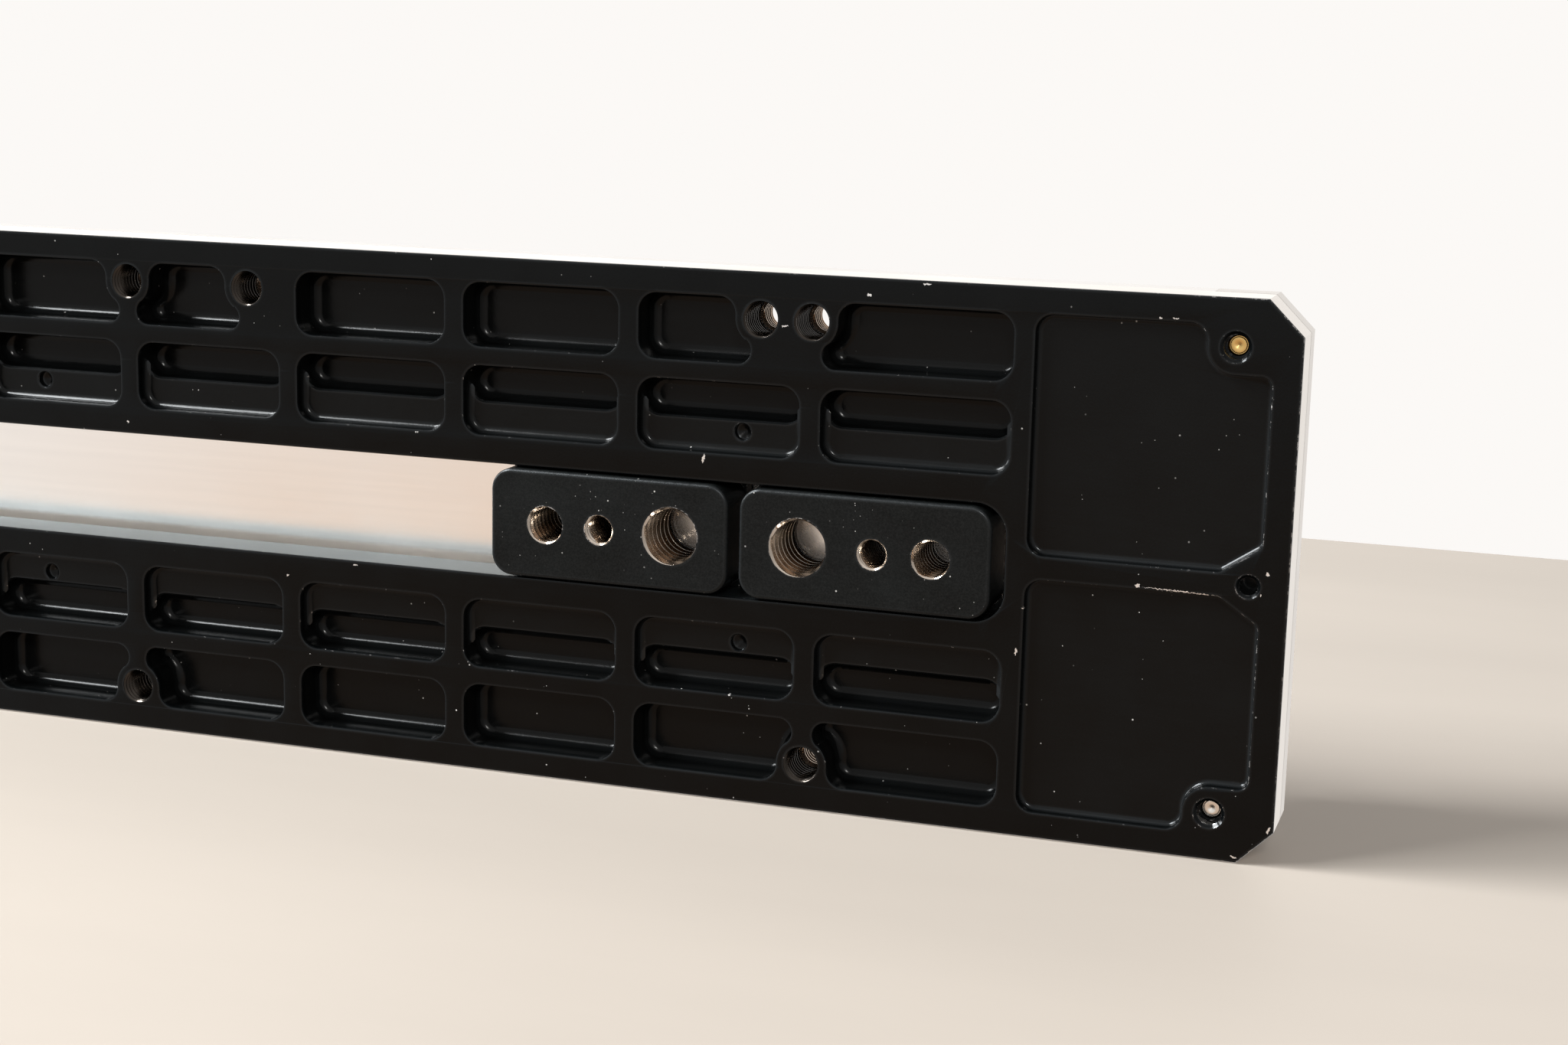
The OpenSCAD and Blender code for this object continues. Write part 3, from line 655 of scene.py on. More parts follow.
def inner_pocket(shell, low, high):
    """Pocket with a shallow shelf beside the slot and a deep part beyond it; returns its rim."""
    y0, y1, y2 = INNER
    join = y1 + POCKET_R

    def part(outline, lower, order):
        """Points of an outline on one side of the join, beginning at the first in this order."""
        points = [p for p in outline if (p[1] < join - SAME_PLACE) == lower and abs(p[1] - join) > SAME_PLACE]
        first = min(range(len(points)), key=lambda i: order(*points[i][:2]))
        return points[first:] + points[:first]

    deep = rect((low, y1), (high, y2), POCKET_R)
    shelf = part(rect((low, y0), (high, y2), POCKET_R), True, lambda x, y: (x > low + SAME_PLACE, -y))
    step = part(deep, True, lambda x, y: (x, -y))
    top = part(deep, False, lambda x, y: (x <= high - SAME_PLACE, y))
    # the shelf's fillet fades out towards the join, where the wall runs on down into the deep part
    left = [(low, join - d, -1.0, 0.0) for d in (0, 0.3, 0.8)]
    right = [(high, join - d, 1.0, 0.0) for d in (0.8, 0.3, 0)]
    n = len(shelf) + 6
    loop = left + shelf + right + top
    weight = [0, 0.6] + [1] * (n - 4) + [0.6, 0] + [0] * len(top)
    rings = [shell.ring(loop, off, z) for off, z in BROKEN]
    for off, z in fillet(SHELF, 0.9, 3):
        rings.append([shell.vert(x + nx * off * w, y + ny * off * w, z) for (x, y, nx, ny), w in zip(loop, weight)])
    rim, floor = shell.walls(rings)
    edge = [0.5] + [1.0] * (len(step) - 2) + [0.5]
    lip = [shell.vert(x + nx * RIM * w, y + ny * RIM * w, SHELF) for (x, y, nx, ny), w in zip(step, edge)]
    dimples = []
    for x in DIMPLES:
        if low < x < high:
            steps = [(0.15, SHELF), (0, SHELF + 0.15), (0, SHELF + 1.2), (-0.9, SHELF + 1.6)]
            top_ring, tip = shell.sweep(circle(x, 16, 1.25, 24), steps)
            shell.fan(tip, SHELF + 1.7)
            dimples.append(top_ring)
    shell.cap([floor[:n] + lip[::-1]] + dimples)
    loop = step + right[-1:] + top + left[:1]
    under = [shell.vert(x, y, SHELF + (RIM if i < len(step) else 0.02)) for i, (x, y, _, _) in enumerate(loop)]
    rings = [lip + floor[n - 1:] + floor[:1], under, *(shell.ring(loop, off, z) for off, z in fillet(DEEP, 1.5, 4))]
    shell.cap([shell.walls(rings)[1]])
    return rim


def panel():
    """Outline of the plain panel at the right-hand end, towards +Y."""
    far, near, web, top = HALF_L - 37.1, HALF_L - 4, 1.75, 36.2
    boss, small, corner = 3.9, 1.5, 2.5
    run = sqrt((boss + TOOL_R) ** 2 - (top - TOOL_R - SCREW_Y) ** 2)
    return belt([(far + corner, web + corner, corner, 1), (near - 6.1, web + small, small, 1),
                 (near - small, web + 4.6, small, 1), (near - small, SCREW_Y - boss - small, small, 1),
                 (SCREW_X, SCREW_Y, boss, -1), (SCREW_X - run, top - TOOL_R, TOOL_R, 1),
                 (far + corner, top - corner, corner, 1)], 9)


def base_plate():
    shell = Shell()
    lows, highs = [], []

    def through(outline, *walls):
        """Sweeps walls (steps, slot) that run on from one another, from the underside to the top."""
        ends = [shell.sweep(outline, steps, slot) for steps, slot in walls]
        lows.append(ends[0][0])
        highs.append(ends[-1][1])

    through(cut_box(HALF_L, HALF_W, 5), ([(-0.28, 0), (-0.08, 0.08), (0, 0.28)], 0),
            ([(0, 0.28), (0, BASE_T - 0.12), (-0.12, BASE_T)], 2))
    through(rect((-FIELD_X, -SLOT_HALF_W), (FIELD_X, SLOT_HALF_W), 4.5, 7.5), ([(0.3, 0), (0.09, 0.09), (0, 0.3)], 0),
            ([(0, 0.3), (0, BASE_T)], 3))
    for face in shell.bm.faces:    # only the long sides are rubbed bare by the blocks; their metal is tinted dark and bluish as a painted reflection
        x = [v.co.x for v in face.verts]
        if face.material_index == 3 and max(x) - min(x) < 100:
            face.material_index = 0
    for x, y in HOLES:
        low, high = shell.helix((x, y), 0, BASE_T, 2.5, 2.75, 0.8, 0.2, slot=1)
        lows.append(low)
        highs.append(high)
    for sx in (-1, 1):
        for sy in (-1, 1):
            lows.append(shell.pocket(flip(panel(), sx, sy), BROKEN + fillet(PANEL, 0.6, 3)))
            through(circle(sx * SCREW_X, sy * SCREW_Y, 1.75, 32),
                    ([(0.5, 0), (0, 0.5), (0, 2.6), (-0.23, 2.6), (-0.23, BASE_T)], 0))
        lows.append(shell.pocket(circle(sx * (HALF_L - 5.6), 0, 1.75, 32), [(0, 0), (-0.45, 0.5), (-0.45, 5)]))
    for sy in (-1, 1):
        for k in range(-LAST - 1, LAST + 1):
            low, high = column(k)
            lows.append(shell.pocket(flip(outer_pocket(low, high, sy < 0), 1, sy), BROKEN + fillet(DEEP, 1.5, 4)))
            shell.place = mirror(y=sy)
            rim = inner_pocket(shell, low, high)
            shell.place = SAME
            for v in rim:
                shell.flat[v] = (v.co.x, v.co.y)
            lows.append(rim)
    shell.cap(lows)
    shell.cap(highs, 2)
    shell.done("base_plate", "milled", BLACK, TAPPED, CAP, RUBBED_PAINTED_REFLECTION)


base_plate()

# ------------ track plate, rails and end caps

TRACK_Z = 12.0
RAIL_Y, RAIL_Z, RAIL_R = 22.0, size("rail_rear")[0][2] + 5, 5.0
JOIN_X = size("track_plate")[1][0]
GAP = 0.02               # between pieces that lie on each other
PLATE_SCREWS = [(sx * (HALF_L - 25), sy * y) for sx, sy in CORNERS for y in (15, 30)]


def around(xy):
    """The four places with these distances from the middle."""
    return [(sx * xy[0], sy * xy[1]) for sx, sy in CORNERS]


def track_plate():
    shell = Shell()
    low, high = shell.sweep(box(JOIN_X, HALF_W),
                            [(-0.12, BASE_T), (0, BASE_T + 0.12), (0, TRACK_Z - 0.35), (-0.12, TRACK_Z - 0.12),
                             (-0.35, TRACK_Z)])
    lows, highs = [low, shell.pocket(box(FIELD_X + 1, 12.5), [(0, BASE_T), (0, BASE_T + 3)])], [high]
    for at in HOLES:
        low, high = shell.helix(at, BASE_T, TRACK_Z, 2.1, 2.5, 0.8, 0.35, slot=1, ends=(True, True))
        lows.append(low)
        highs.append(high)
    for at in PLATE_SCREWS:
        highs.append(shell.pocket(circle(*at, 3.12), [(0.1, TRACK_Z), (0, TRACK_Z - 0.1), (-1.5, TRACK_Z - 1.6)]))
    shell.cap(lows)
    shell.cap(highs, 2)
    shell.place = SECTION_X
    for c in (-RAIL_Y, RAIL_Y):
        groove = [(c + RAIL_R * sin(a), RAIL_Z - RAIL_R * cos(a)) for a in (radians(g) for g in range(28, -29, -8))]
        side = [(3.6, TRACK_Z - 0.01), (2.9, TRACK_Z + 0.25), (2.6, TRACK_Z + 1), (2.6, TRACK_Z + 5.7)]
        section = [(c + y, z) for y, z in side] + groove + [(c - y, z) for y, z in side[::-1]]
        for end in shell.sweep(polygon(section), [(0, -JOIN_X), (0, JOIN_X)], 2):
            shell.cap([end], 2)
    shell.done("track_plate", "milled", SILVER, THREAD, SATIN)


def end_cap(node, s):
    shell = Shell(mirror(x=s))
    x0, x1, cut = JOIN_X + GAP, HALF_L, 5
    outline = polygon([(x0, -HALF_W), (x1 - cut, -HALF_W), (x1, cut - HALF_W), (x1, HALF_W - cut), (x1 - cut, HALF_W),
                       (x0, HALF_W)])
    screws = [(circle(SCREW_X, y, 1.55, 24), bored(BASE_T, TRACK_Z, 0.15)) for y in (-SCREW_Y, SCREW_Y)]
    shell.plate(outline, BASE_T, TRACK_Z, 0.3, screws)
    shell.place = shell.place @ move(x0) @ SECTION_X
    tall, wide, r, foot = size(node)[1][2], 29.5, 5.0, 0.6
    tower = belt([(-wide + foot, TRACK_Z + 0.5, foot, 1), (wide - foot, TRACK_Z + 0.5, foot, 1),
                  (wide - r, tall - r, r, 1), (r - wide, tall - r, r, 1)], 9)
    shell.plate(tower, 0, x1 - 4.7 - x0, 0.7)
    shell.done(node, "machined", MILLED)


def turned(node, finish, look, profile, n, place=SAME):
    shell = Shell(place)
    shell.turn(profile, n)
    shell.done(node, finish, look)


def rail(node, y):
    low, high = size(node)
    length = high[0] - low[0]
    profile = even([(0, 0), (4.5, 0), (5, 0.5)], length, [(5, length / 2)])
    turned(node, "ground", RAIL, profile, 72, move(low[0], y, RAIL_Z) @ ALONG_X)


def bumpers(node, s):
    shell = Shell()
    for y in (-10, 10):
        shell.place = move(s * (JOIN_X + GAP), y, levels("end_cap_right")[1] - 2.6) @ mirror(x=-s) @ ALONG_X
        shell.turn([(0, -3), (1.4, -3), (1.5, 0), (4, 0), (4, 0.7), (3.75, 1.1), (4, 1.6), (4, 3.9), (3.7, 4.6),
                    (3, 5), (1.4, 5), (1.1, 4.6), (0, 4.6)], 40)
    shell.done(node, "rubber", RUBBER)


def flat_screws(node, places, length, z, place=SAME):
    """Countersunk M3 socket screws with their faces at z, pointing down."""
    shell = Shell(place)
    r, head_r = 1.5, 3
    for at in places:
        rim, low = shell.sweep(circle(*at, head_r, 36), [(-0.1, z), (0, z - 0.12), (r - head_r, z - head_r + r)])
        shell.cap([rim, shell.hexagon(r * 0.75, z, head_r * 0.5, at)])
        tip = shell.ring(circle(*at, r, 36), 0, z - length)
        shell.wall(low, tip)
        shell.cap([tip])
    shell.done(node, "socket", OXIDE)


def corner_screws(node, corners, look):
    shell = Shell()
    for sx, sy in corners:
        at = (sx * SCREW_X, sy * SCREW_Y)
        z = TRACK_Z
        low, top = shell.sweep(circle(*at, 2.75, 36),
                               [(-0.15, z), (0, z + 0.15), (0, z + 2.6), (-0.12, z + 2.88), (-0.35, z + 3)])
        shell.cap([top, shell.hexagon(1.4, z + 3, 1.5, at)])
        shell.cap([low])
        a, b = shell.helix(at, 3.0, z, 1.5, 1.28, 0.5, -0.22, n=28)
        shell.cap([b])
        shell.cap([a])
        # a small dished spigot below the thread
        low, high = shell.sweep(circle(*at, 1.2, 28),
                                [(0, 3.0), (-0.12, 2.83), (-0.45, 2.8), (-0.75, 2.86), (-1.1, 2.98)])
        shell.cap([low])
        shell.fan(high, 3.0)
    shell.done(node, "threaded", look)


track_plate()
end_cap("end_cap_right", 1)
end_cap("end_cap_left", -1)
rail("rail_rear", RAIL_Y)
rail("rail_front", -RAIL_Y)
bumpers("bumpers_right", 1)
bumpers("bumpers_left", -1)
flat_screws("plate_screws", PLATE_SCREWS, 8.5, TRACK_Z)
corner_screws("corner_screws", [(1, 1), (-1, 1), (-1, -1)], NICKEL)
corner_screws("corner_screw_brass", [(1, -1)], BRASS)

# ------------ mounting blocks

# threads of a block: place along it, crest and root radius, pitch, countersink
BLOCK_THREADS = ((-10, 4.05, 4.42, 1.5875, 0.33), (1.4, 2.1, 2.36, 0.8, 0.2), (10.2, 2.62, 2.95, 1.27, 0.25))


def mount_block(node, s):
    shell = Shell()
    (x0, _, z0), (x1, _, z1) = size(node)
    neck_z = BASE_T + 0.3
    face, neck = shell.sweep(rect((x0, -8.25), (x1, 8.25), 3.3, 9),
                             rounded(z0, 0.5, 4) + [(0, neck_z - 0.2), (-0.03, neck_z)])
    under, top = shell.sweep(rect((x0, -11.7), (x1, 11.7), 3.8, 9), [(0, neck_z), (0, z1 - 0.3), (-0.3, z1)])
    faces, tops = [face], [top]
    for dx, crest, root, pitch, mouth in BLOCK_THREADS:
        low, high = shell.helix(((x0 + x1) / 2 + s * dx, 0), z0, z1, crest, root, pitch, mouth, n=64, slot=1)
        faces.append(low)
        tops.append(high)
    shell.cap(faces)
    shell.cap([under, neck])
    shell.cap(tops)
    shell.done(node, "tapped", BLOCK, BARE)


mount_block("mount_block_right", 1)
mount_block("mount_block_left", -1)

# ------------ carriage

DECK_Z, DECK_TOP = levels("carriage_plate")
CAM_Z, CAM_TOP = levels("camera_plate")
AXLES, STANDS, CHEEKS = around((34, 10.35)), around((32, 23)), around((28, 34))
SCREW_HOLE = 1.55
BELOW = 0.05             # how far a screw's face lies under the plate's


def seat(z0, z1, at_top):
    """Steps of a screw hole with a countersunk seat at one end."""
    wide = 1.5
    steps = [(0.12, z0), (0, z0 + 0.12), (0, z1 - wide - 0.1), (wide, z1 - 0.1), (wide + 0.1, z1)]
    return steps if at_top else [(o, z0 + z1 - z) for o, z in reversed(steps)]


def carriage_plate():
    shell = Shell()
    (x0, y0, z0), (x1, y1, z1) = size("carriage_plate")
    cuts = [(circle(0, 0, 4.07), bored(z0, z1, 0.4))]
    sunk = [(0.1, z0), (0, z0 + 0.1), (0, z1 - 3), (2.08, z1 - 3), (2.08, z1 - 0.25), (2.33, z1)]
    for axle, stand, side in zip(AXLES, STANDS, CHEEKS):
        cuts += [(circle(*axle, 2.52), sunk), (circle(*stand, SCREW_HOLE, 32), seat(z0, z1, False)),
                 (circle(*side, SCREW_HOLE, 32), seat(z0, z1, True))]
    steps = [(0.2, z1), (0, z1 - 0.2), (0, z1 - 1.4), (-0.15, z1 - 1.74), (-0.5, z1 - 1.9)]
    grooves = [shell.pocket(rect((x - 3.5, -26), (x + 3.5, 26), 3.4), steps) for x in (-48, 48)]
    shell.plate(rect((x0, y0), (x1, y1), 6, 7.5), z0, z1, 0.7, cuts, grooves)
    shell.done("carriage_plate", "milled", DECK)


def cheek(node, s):
    (x0, y0, z0), (x1, y1, z1) = size(node)
    shell = Shell(move(y=y0) @ ALONG_Y if s > 0 else move(y=y1) @ BACK_Y)
    # in the local frame y is -Z for the rear cheek and +Z for the front one
    low, high = (-z1, -z0) if s > 0 else (z0, z1)
    corners = [(x0, low), (x1, low), (x1, high), (x0, high)]
    discs = []
    for x, y in corners:
        r = 0.3 if abs(y) == z1 else 5
        discs.append((x + (r if x < 0 else -r), y + (r if y == low else -r), r, 1))
    cuts = [] if s > 0 else [(circle(0, RAIL_Z, 5.02), bored(0, y1 - y0, 0.2))]
    shell.plate(belt(discs, 9), 0, y1 - y0, 0.6, cuts)
    shell.done(node, "milled", DECK)


def roller(node, at):
    w, bore, outer, groove_r = 4.2, 3.62, 8.5, 5.05
    groove = [(6.6 + groove_r - groove_r * cos(a), groove_r * sin(a)) for a in (radians(g) for g in range(-36, 37, 9))]
    half = [(bore, 0.5 - w), (bore + 0.15, 0.35 - w), (5.4, 0.35 - w), (5.55, 0.05 - w), (5.9, -w), (outer - 0.2, -w),
            (outer, 0.2 - w), (outer, -3.35)]
    turned(node, "turned", BEARING, even(half, 0, groove), 72, move(*at, RAIL_Z))


def tubes(node, places, r_in, r_out, z0, z1, look, e=0.3):
    shell = Shell()
    for at in places:
        shell.turn(even([(r_in, z0 + e), (r_in + e, z0), (r_out - e, z0), (r_out, z0 + e)], z0 + z1), 40, at=at)
    shell.done(node, "turned", look)


def hexes(node, places, r_in, r_out, look):
    """Hexagonal nuts or spacers, their corners turned down as on real ones."""
    shell = Shell()
    z0, z1 = levels(node)
    limit = r_out * 0.93
    for x, y in places:
        points = [(t, r_out * cos(pi / 6) / cos(t % (pi / 3) - pi / 6)) for t in angles(72)]
        rings = []
        for z, cut in ((z0, 0.0), (z0 + 0.45, 0.4), (z0 + 0.9, 1.0), (z1 - 0.9, 1.0), (z1 - 0.45, 0.4), (z1, 0.0)):
            most = limit + (r_out - limit) * cut
            rings.append([shell.vert(x + min(r, most) * cos(t), y + min(r, most) * sin(t), z) for t, r in points])
        shell.walls(rings)
        low, high = shell.sweep(circle(x, y, r_in, 36), bored(z0, z1, 0.25))
        shell.cap([rings[0], low])
        shell.cap([rings[-1], high])
    shell.done(node, "turned", look)


def axle_bolts():
    """M5 socket head screws, sunk in the plate and pointing down."""
    shell = Shell()
    r, head_r, head_h, z = 2.5, 4.4, 2.8, DECK_TOP - 3
    length, c, top_z = z - levels("axle_bolts")[0], 0.12 * head_r, z + head_h
    for at in AXLES:
        low, top = shell.sweep(circle(*at, head_r, 36),
                               [(-c / 2, z), (0, z + c / 2), (0, top_z - c), (-c / 3, top_z - c / 3), (-c, top_z)])
        shell.cap([top, shell.hexagon(r * 0.95, top_z, head_h * 0.5, at)])
        shank, tip = shell.sweep(circle(*at, r, 24), [(0, z), (0, z - length + 0.35), (-0.35, z - length)])
        shell.cap([low])
        shell.cap([shank])
        shell.fan(tip, z - length)
    shell.done("axle_bolts", "socket", OXIDE)


def camera_plate():
    shell = Shell()
    (x0, y0, z0), (x1, y1, z1) = size("camera_plate")
    cuts = [(circle(0, 0, 5.02), bored(z0, z1, 0.3))]
    cuts += [(circle(*at, SCREW_HOLE, 32), seat(z0, z1, True)) for at in STANDS]
    (lx0, ly0, lz0), (lx1, ly1, _) = size("level_holder")
    rim = shell.pocket(rect((lx0 - GAP, ly0 - GAP), (lx1 + GAP, ly1 + GAP), 0.4),
                       [(0.15, z1), (0, z1 - 0.15), (0, lz0)])
    shell.plate(rect((x0, y0), (x1, y1), 6, 7.5), z0, z1, 0.7, cuts, [rim])
    shell.done("camera_plate", "milled", DECK)


def rubber_pad():
    """Ring with fine concentric ribs."""
    z0, z1 = levels("rubber_pad")
    profile = [(8, z0), (8, z1 - 0.15), (8.15, z1)]
    r = 8.9
    while r < 18.2:
        profile += [(r, z1), (r + 0.12, z1 - 0.3), (r + 0.33, z1 - 0.3), (r + 0.45, z1)]
        r += 0.95
    profile += [(18.85, z1), (19, z1 - 0.15), (19, z0)]
    turned("rubber_pad", "ribbed", RUBBER, profile, 96)


def level():
    (x0, y0, z0), (x1, y1, z1) = size("level_holder")
    cy = (y0 + y1) / 2
    shell = Shell()
    rim = shell.pocket(rect((x0 + 2.1, cy - 2.3), (x1 - 2.1, cy + 2.3), 0.6),
                       [(0.15, z1), (0, z1 - 0.15), (0, z0 + 1.2)])
    shell.plate(rect((x0, y0), (x1, y1), 0.5), z0, z1, 0.3, (), [rim])
    shell.done("level_holder", "moulded", PLASTIC)
    (x0, _, z0), (x1, _, z1) = size("level_vial")
    length = x1 - x0
    mid, r = length / 2, 2.25
    shell = Shell(move(x0, cy, (z0 + z1) / 2) @ ALONG_X)
    shell.turn(even([(0, 0), (2.1, 0), (r, 0.3)], length, [(r, mid)]), 48)
    for c in (mid - 3.4, mid + 3.4):    # the two lines between which the bubble lies
        shell.turn(even([(2.26, c - 0.2), (2.34, c - 0.2)], 2 * c), 48, slot=1)
    shell.turn(even([(0, mid - 2.9), (0.6, mid - 2.7), (1.05, mid - 1.8)], length, [(1.15, mid)]), 32, slot=2,
               at=(-0.85, 0))
    shell.done("level_vial", "filled", VIAL, PLASTIC, BUBBLE)


def thumb_wheel():
    shell = Shell()
    (x0, _, z0), (x1, _, z1) = size("thumb_wheel")
    sides = shell.sweep(lobed(x1, 1.0, 30, 2.2, 720), edged(z0, z1, 0.5, 3))
    bore = shell.sweep(circle(0, 0, 6), bored(z0, z1, 0.2))
    for z, way, side, hole in zip((z0, z1), (1, -1), sides, bore):    # a shallow ring is turned into each face
        outer, b = shell.sweep(circle(0, 0, 25), [(0, z), (-0.2, z + 0.2 * way), (-0.5, z + 0.9 * way)])
        inner, d = shell.sweep(circle(0, 0, 9.5), [(0, z), (0.2, z + 0.2 * way), (0.5, z + 0.9 * way)])
        for rings in ([b, d], [side, outer], [inner, hole]):
            shell.cap(rings)
    shell.done("thumb_wheel", "fluted", DECK)


def camera_screw():
    shell = Shell()
    (low, top), wheel = levels("camera_screw"), levels("thumb_wheel")
    hub, collar, neck = 5.98, 7.5, 4.95
    shell.turn([(0, low), (3.6, low), (4, low + 0.4), (4, wheel[0]), (hub, wheel[0]), (hub, wheel[1]),
                (collar - 0.3, wheel[1]), (collar, wheel[1] + 0.3), (collar, CAM_Z - 0.6), (collar - 0.3, CAM_Z - 0.3),
                (neck, CAM_Z - 0.3), (neck, CAM_TOP - 0.1), (4.2, CAM_TOP + 0.2), (0, CAM_TOP + 0.2)], 64)
    a, b = shell.helix((0, 0), CAM_TOP, top, 4.76, 4.1, 1.5875, -1.0, n=64, ends=(False, True))
    shell.cap([a])
    rim, dish = shell.sweep(circle(0, 0, 3.3, 64), [(0, top), (-0.4, top - 0.15), (-1.6, top - 0.2)])
    shell.cap([b, rim])
    shell.fan(dish, top - 0.2)
    shell.done("camera_screw", "threaded", NICKEL)


def brake():
    axis = move(z=RAIL_Z) @ BACK_Y

    y0, y1 = reach("brake_bush")
    profile = [(3.07, y0 + 0.2), (3.3, y0), (4.8, y0), (5, y0 + 0.2), (5, y1 - 0.3), (4.7, y1), (3.4, y1),
               (3.07, y1 - 0.3)]
    turned("brake_bush", "turned", BRASS, profile, 48, axis)

    y0, y1 = reach("brake_pad")
    y1 -= 0.06    # clears the bush when the brake is fully open
    profile = [(0, y0), (3.7, y0), (4, y0 + 0.3), (4, y1 - 0.3), (3.7, y1), (2.2, y1), (2.07, y1 - 0.15),
               (2.07, y0 + 1), (0, y0 + 1)]
    turned("brake_pad", "turned", NYLON, profile, 48, axis)

    shell = Shell(axis)
    y0, y1 = reach("brake_screw")
    shell.turn([(0, y0), (1.8, y0), (2, y0 + 0.2), (2, y0 + 1.3), (0, y0 + 1.3)], 32)
    for end in shell.helix((0, 0), y0 + 1.2, y1, 3.0, 2.65, 1.0, -0.4, n=36, ends=(True, True)):
        shell.cap([end])
    shell.done("brake_screw", "threaded", NICKEL)

    shell = Shell(axis)
    y0, y1 = reach("brake_knob")
    low, high = shell.sweep(lobed(12, 1.4, 10, 1.6, 240),
                            [(-2.2, y0 + 2.0), (-0.9, y0 + 2.3), (-0.25, y0 + 2.9), (0, y0 + 3.8), (0, y1 - 2.2),
                             (-0.25, y1 - 1.2), (-0.9, y1 - 0.35), (-2.0, y1)])
    hub = shell.sweep(circle(0, 0, 7), [(-0.3, y0), (0, y0 + 0.3), (0, y0 + 1.6), (0.5, y0 + 2.0)])
    bore = shell.pocket(circle(0, 0, 3.02, 36), [(0.3, y0), (0, y0 + 0.3), (0, y0 + 8)])
    dish = shell.pocket(circle(0, 0, 7.5), [(0, y1), (-0.3, y1 - 0.35), (-0.9, y1 - 0.5)])
    for rings in ([low, hub[1]], [hub[0], bore], [high, dish]):
        shell.cap(rings)
    shell.done("brake_knob", "moulded", PLASTIC)


def clear(name, grain, tone, other_tone, **fixed):
    """Liquid or gas in the vial."""
    look = Look(name, **fixed)
    look.put("Base Color", look.mix(look.patches(grain, 2, 0.3, 0.7), tone, other_tone))
    return look.mat


VIAL = clear("vial_fluid", 2, (0.55, 0.86, 0.1), (0.68, 0.95, 0.18), Roughness=0.05, IOR=1.45, Transmission_Weight=0.8)
BUBBLE = clear("vial_bubble", 1, (0.85, 0.95, 0.6), (0.95, 1.0, 0.8), Roughness=0.04, IOR=1.1)

carriage_plate()
cheek("cheek_rear", 1)
cheek("cheek_front", -1)
flat_screws("cheek_screws", CHEEKS, 13.8, DECK_TOP - BELOW)
for name, at in zip(("front_left", "front_right", "rear_left", "rear_right"), AXLES[::2] + AXLES[1::2]):
    roller("roller_" + name, at)
tubes("roller_inner_rings", AXLES, 2.52, 3.55, *levels("roller_inner_rings"), BEARING, 0.15)
tubes("roller_spacers", AXLES[::2], 2.52, 4.2, *levels("roller_spacers"), NICKEL)
hexes("eccentric_spacers", AXLES[1::2], 2.52, 5.2, BRASS)
hexes("axle_nuts", AXLES, 2.52, 4.6, NICKEL)
axle_bolts()
tubes("standoffs", STANDS, 1.52, 4.5, DECK_TOP, CAM_Z, CAP, 0.4)
flat_screws("standoff_screws", STANDS, 11.8, -DECK_Z - BELOW, mirror(z=-1))
camera_plate()
flat_screws("camera_plate_screws", STANDS, 10.8, CAM_TOP - BELOW)
rubber_pad()
level()
thumb_wheel()
camera_screw()
brake()

for node in frame["nodes"].values():    # the rail screws keep their CAD mesh
    if not node.hide_render:
        node.data.materials.clear()
        node.data.materials.append(NICKEL)

# ------------ camera, light and stage

WHITE = (1.0, 0.975, 0.95)

camera_data = bpy.data.cameras.new("camera")
camera_data.lens = 56.32
camera_data.sensor_width = 36
camera_data.clip_start = 0.01
camera = placed("camera", camera_data)
eye, aim = Vector((0.33505, -0.07237, -0.33575)), Vector((0.22449, -0.00342, 0))
back = (eye - aim).normalized()
side = Vector((0, -1, 0)).cross(back).normalized()    # -Y is up, because the slider stands on its +Y edge
roll = Matrix.Rotation(radians(1.37), 4, "Z")
camera.matrix_world = move(*eye) @ Matrix((side, back.cross(side), back)).transposed().to_4x4() @ roll
bpy.context.scene.camera = camera


def soft_light(name, direction, distance, width, watts, colour):
    data = bpy.data.lights.new(name, "AREA")
    data.shape = "DISK"
    data.size = width
    data.energy = watts
    data.color = colour
    light = placed(name, data)
    out = Vector(direction).normalized()
    light.location = Vector((0.14, 0, 0)) + out * distance
    light.rotation_euler = out.to_track_quat("Z", "Y").to_euler()


soft_light("key", (-0.66, -0.7, -0.2), 1.6, 0.72, 84, (0.97, 0.99, 1))
soft_light("window", (-0.95, -0.28, -0.12), 1.5, 0.4, 14, (0.97, 0.99, 1))
soft_light("strip", (-0.55, -0.65, -0.52), 1.5, 0.4, 24, (0.95, 0.985, 1))
soft_light("fill", (0.35, -0.5, -0.8), 1.4, 0.26, 11, (1, 0.98, 0.95))
soft_light("top", (-0.25, 0.8, 0.7), 1.3, 0.8, 9, (1, 0.99, 0.97))

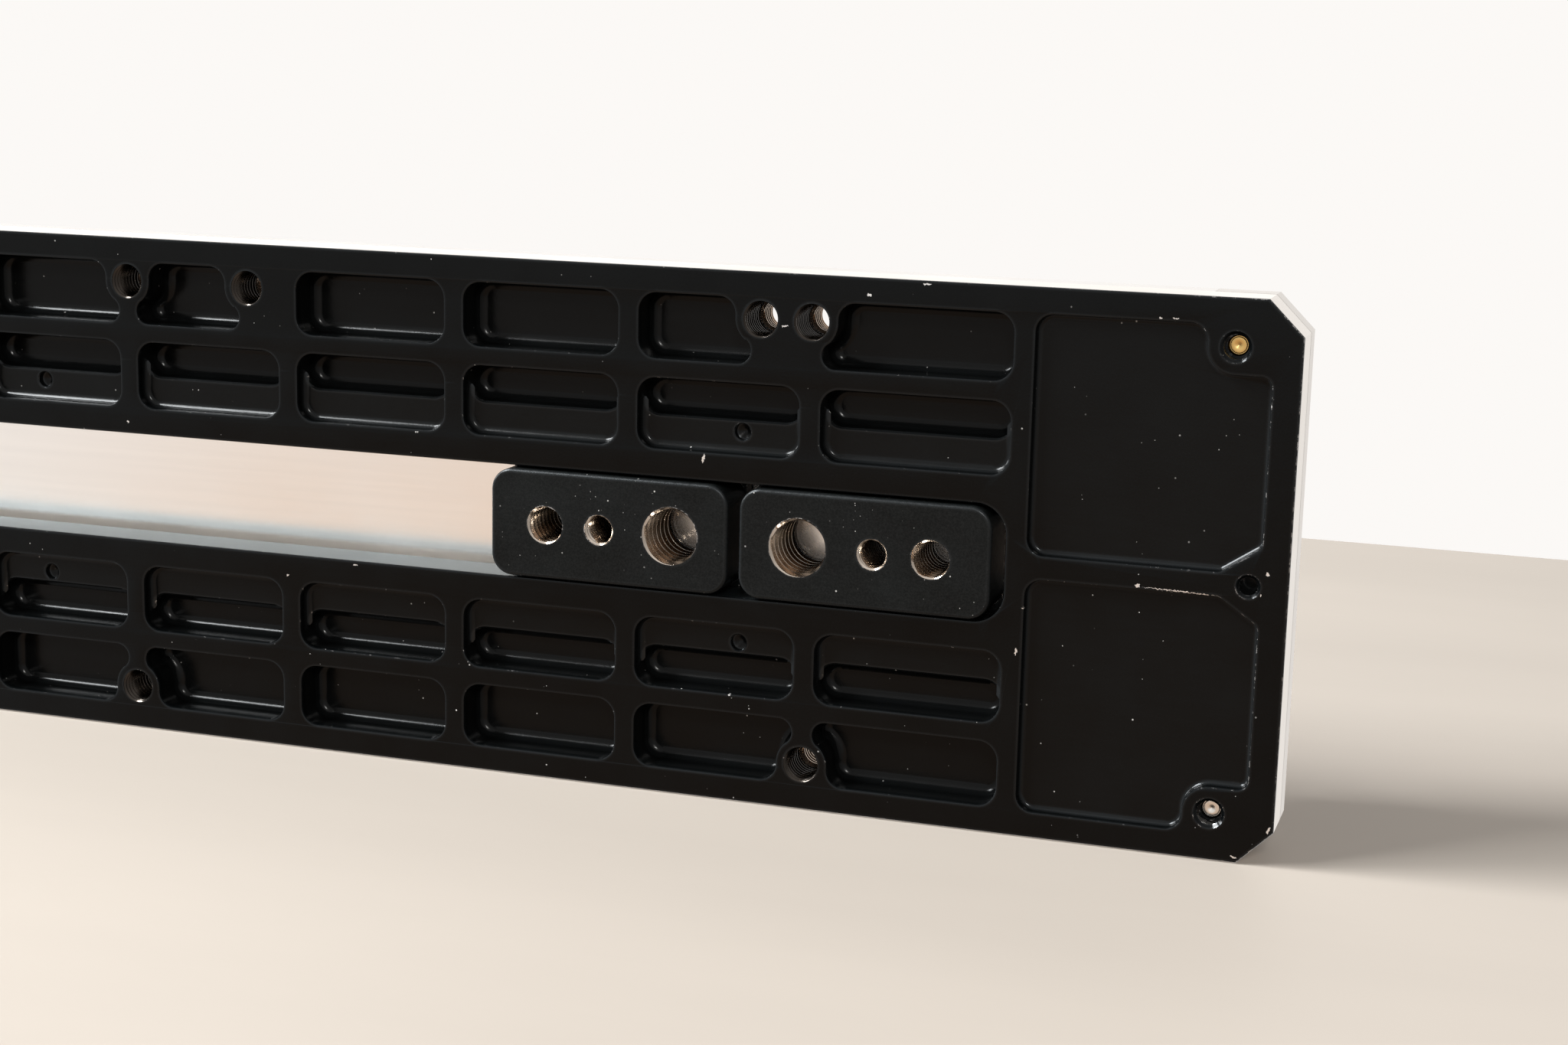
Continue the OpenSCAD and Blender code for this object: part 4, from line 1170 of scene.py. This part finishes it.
# a white room, warm like a wooden table below and in front of the underside and grey at its far wall;
# the camera sees a plain backdrop on every side
world = bpy.data.worlds.new("studio")
bpy.context.scene.world = world
world.use_nodes = True
room = Nodes(world.node_tree)
x, y, z = room.node("SeparateXYZ", {0: room.node("TexCoord").outputs["Generated"]}).outputs
warm = room.times(room.times(room.span(y, 0.09, 0.2), room.span(z, 0.1, -0.4)), room.span(x, -0.61, -0.49))
sky = room.mix(warm, WHITE, (0.84, 0.62, 0.47))
sky = room.mix(room.span(x, 0.35, 0.95), sky, (0.55, 0.53, 0.51))
sky = room.mix(room.node("LightPath").outputs["Is Camera Ray"], sky, WHITE)
background = room.tree.nodes["Background"]
room.tree.links.new(sky, background.inputs["Color"])
background.inputs["Strength"].default_value = 0.97


def table():
    """The table top on which the slider stands; it shows only from its front, so that it hides nothing."""
    bm = bmesh.new()
    top = HALF_W + 0.15
    profile = ((top, -230), (top, 247), (top + 1.5, 253))
    rows = [[bm.verts.new((x * MM, y * MM, z * MM)) for x in (-430, 560)] for y, z in profile]
    for a, b in zip(rows, rows[1:]):
        bm.faces.new((a[0], a[1], b[1], b[0]))
    mesh = bpy.data.meshes.new("table")
    bm.to_mesh(mesh)
    look = Look("table_pale", Roughness=0.55, Specular_IOR_Level=0.3)
    tone = look.mix(look.patches(60, 4, 0.3, 0.7, stretch=(4, 1, 1)), (0.205, 0.182, 0.159), (0.222, 0.197, 0.172))
    near_lamps = look.span(look.axis(0), 0.07, -0.4, (0.0, 0.62))    # darker where the lamps are nearer
    look.put("Base Color", look.mix(near_lamps, tone, (0.006, 0.005, 0.0045)))
    look.bump((look.noise(3, 3, (6, 1, 1)), 0.01))
    behind = look.node("NewGeometry").outputs["Backfacing"]
    nothing = look.node("BsdfTransparent").outputs[0]
    mixed = look.node("MixShader", {0: behind, 1: look.shader.outputs[0], 2: nothing}).outputs[0]
    look.tree.links.new(mixed, look.tree.nodes["Material Output"].inputs["Surface"])
    mesh.materials.append(look.mat)
    board = placed("table", mesh)
    board.visible_diffuse = board.visible_glossy = board.visible_shadow = board.visible_transmission = False


table()
bpy.context.scene.view_settings.view_transform = "Standard"
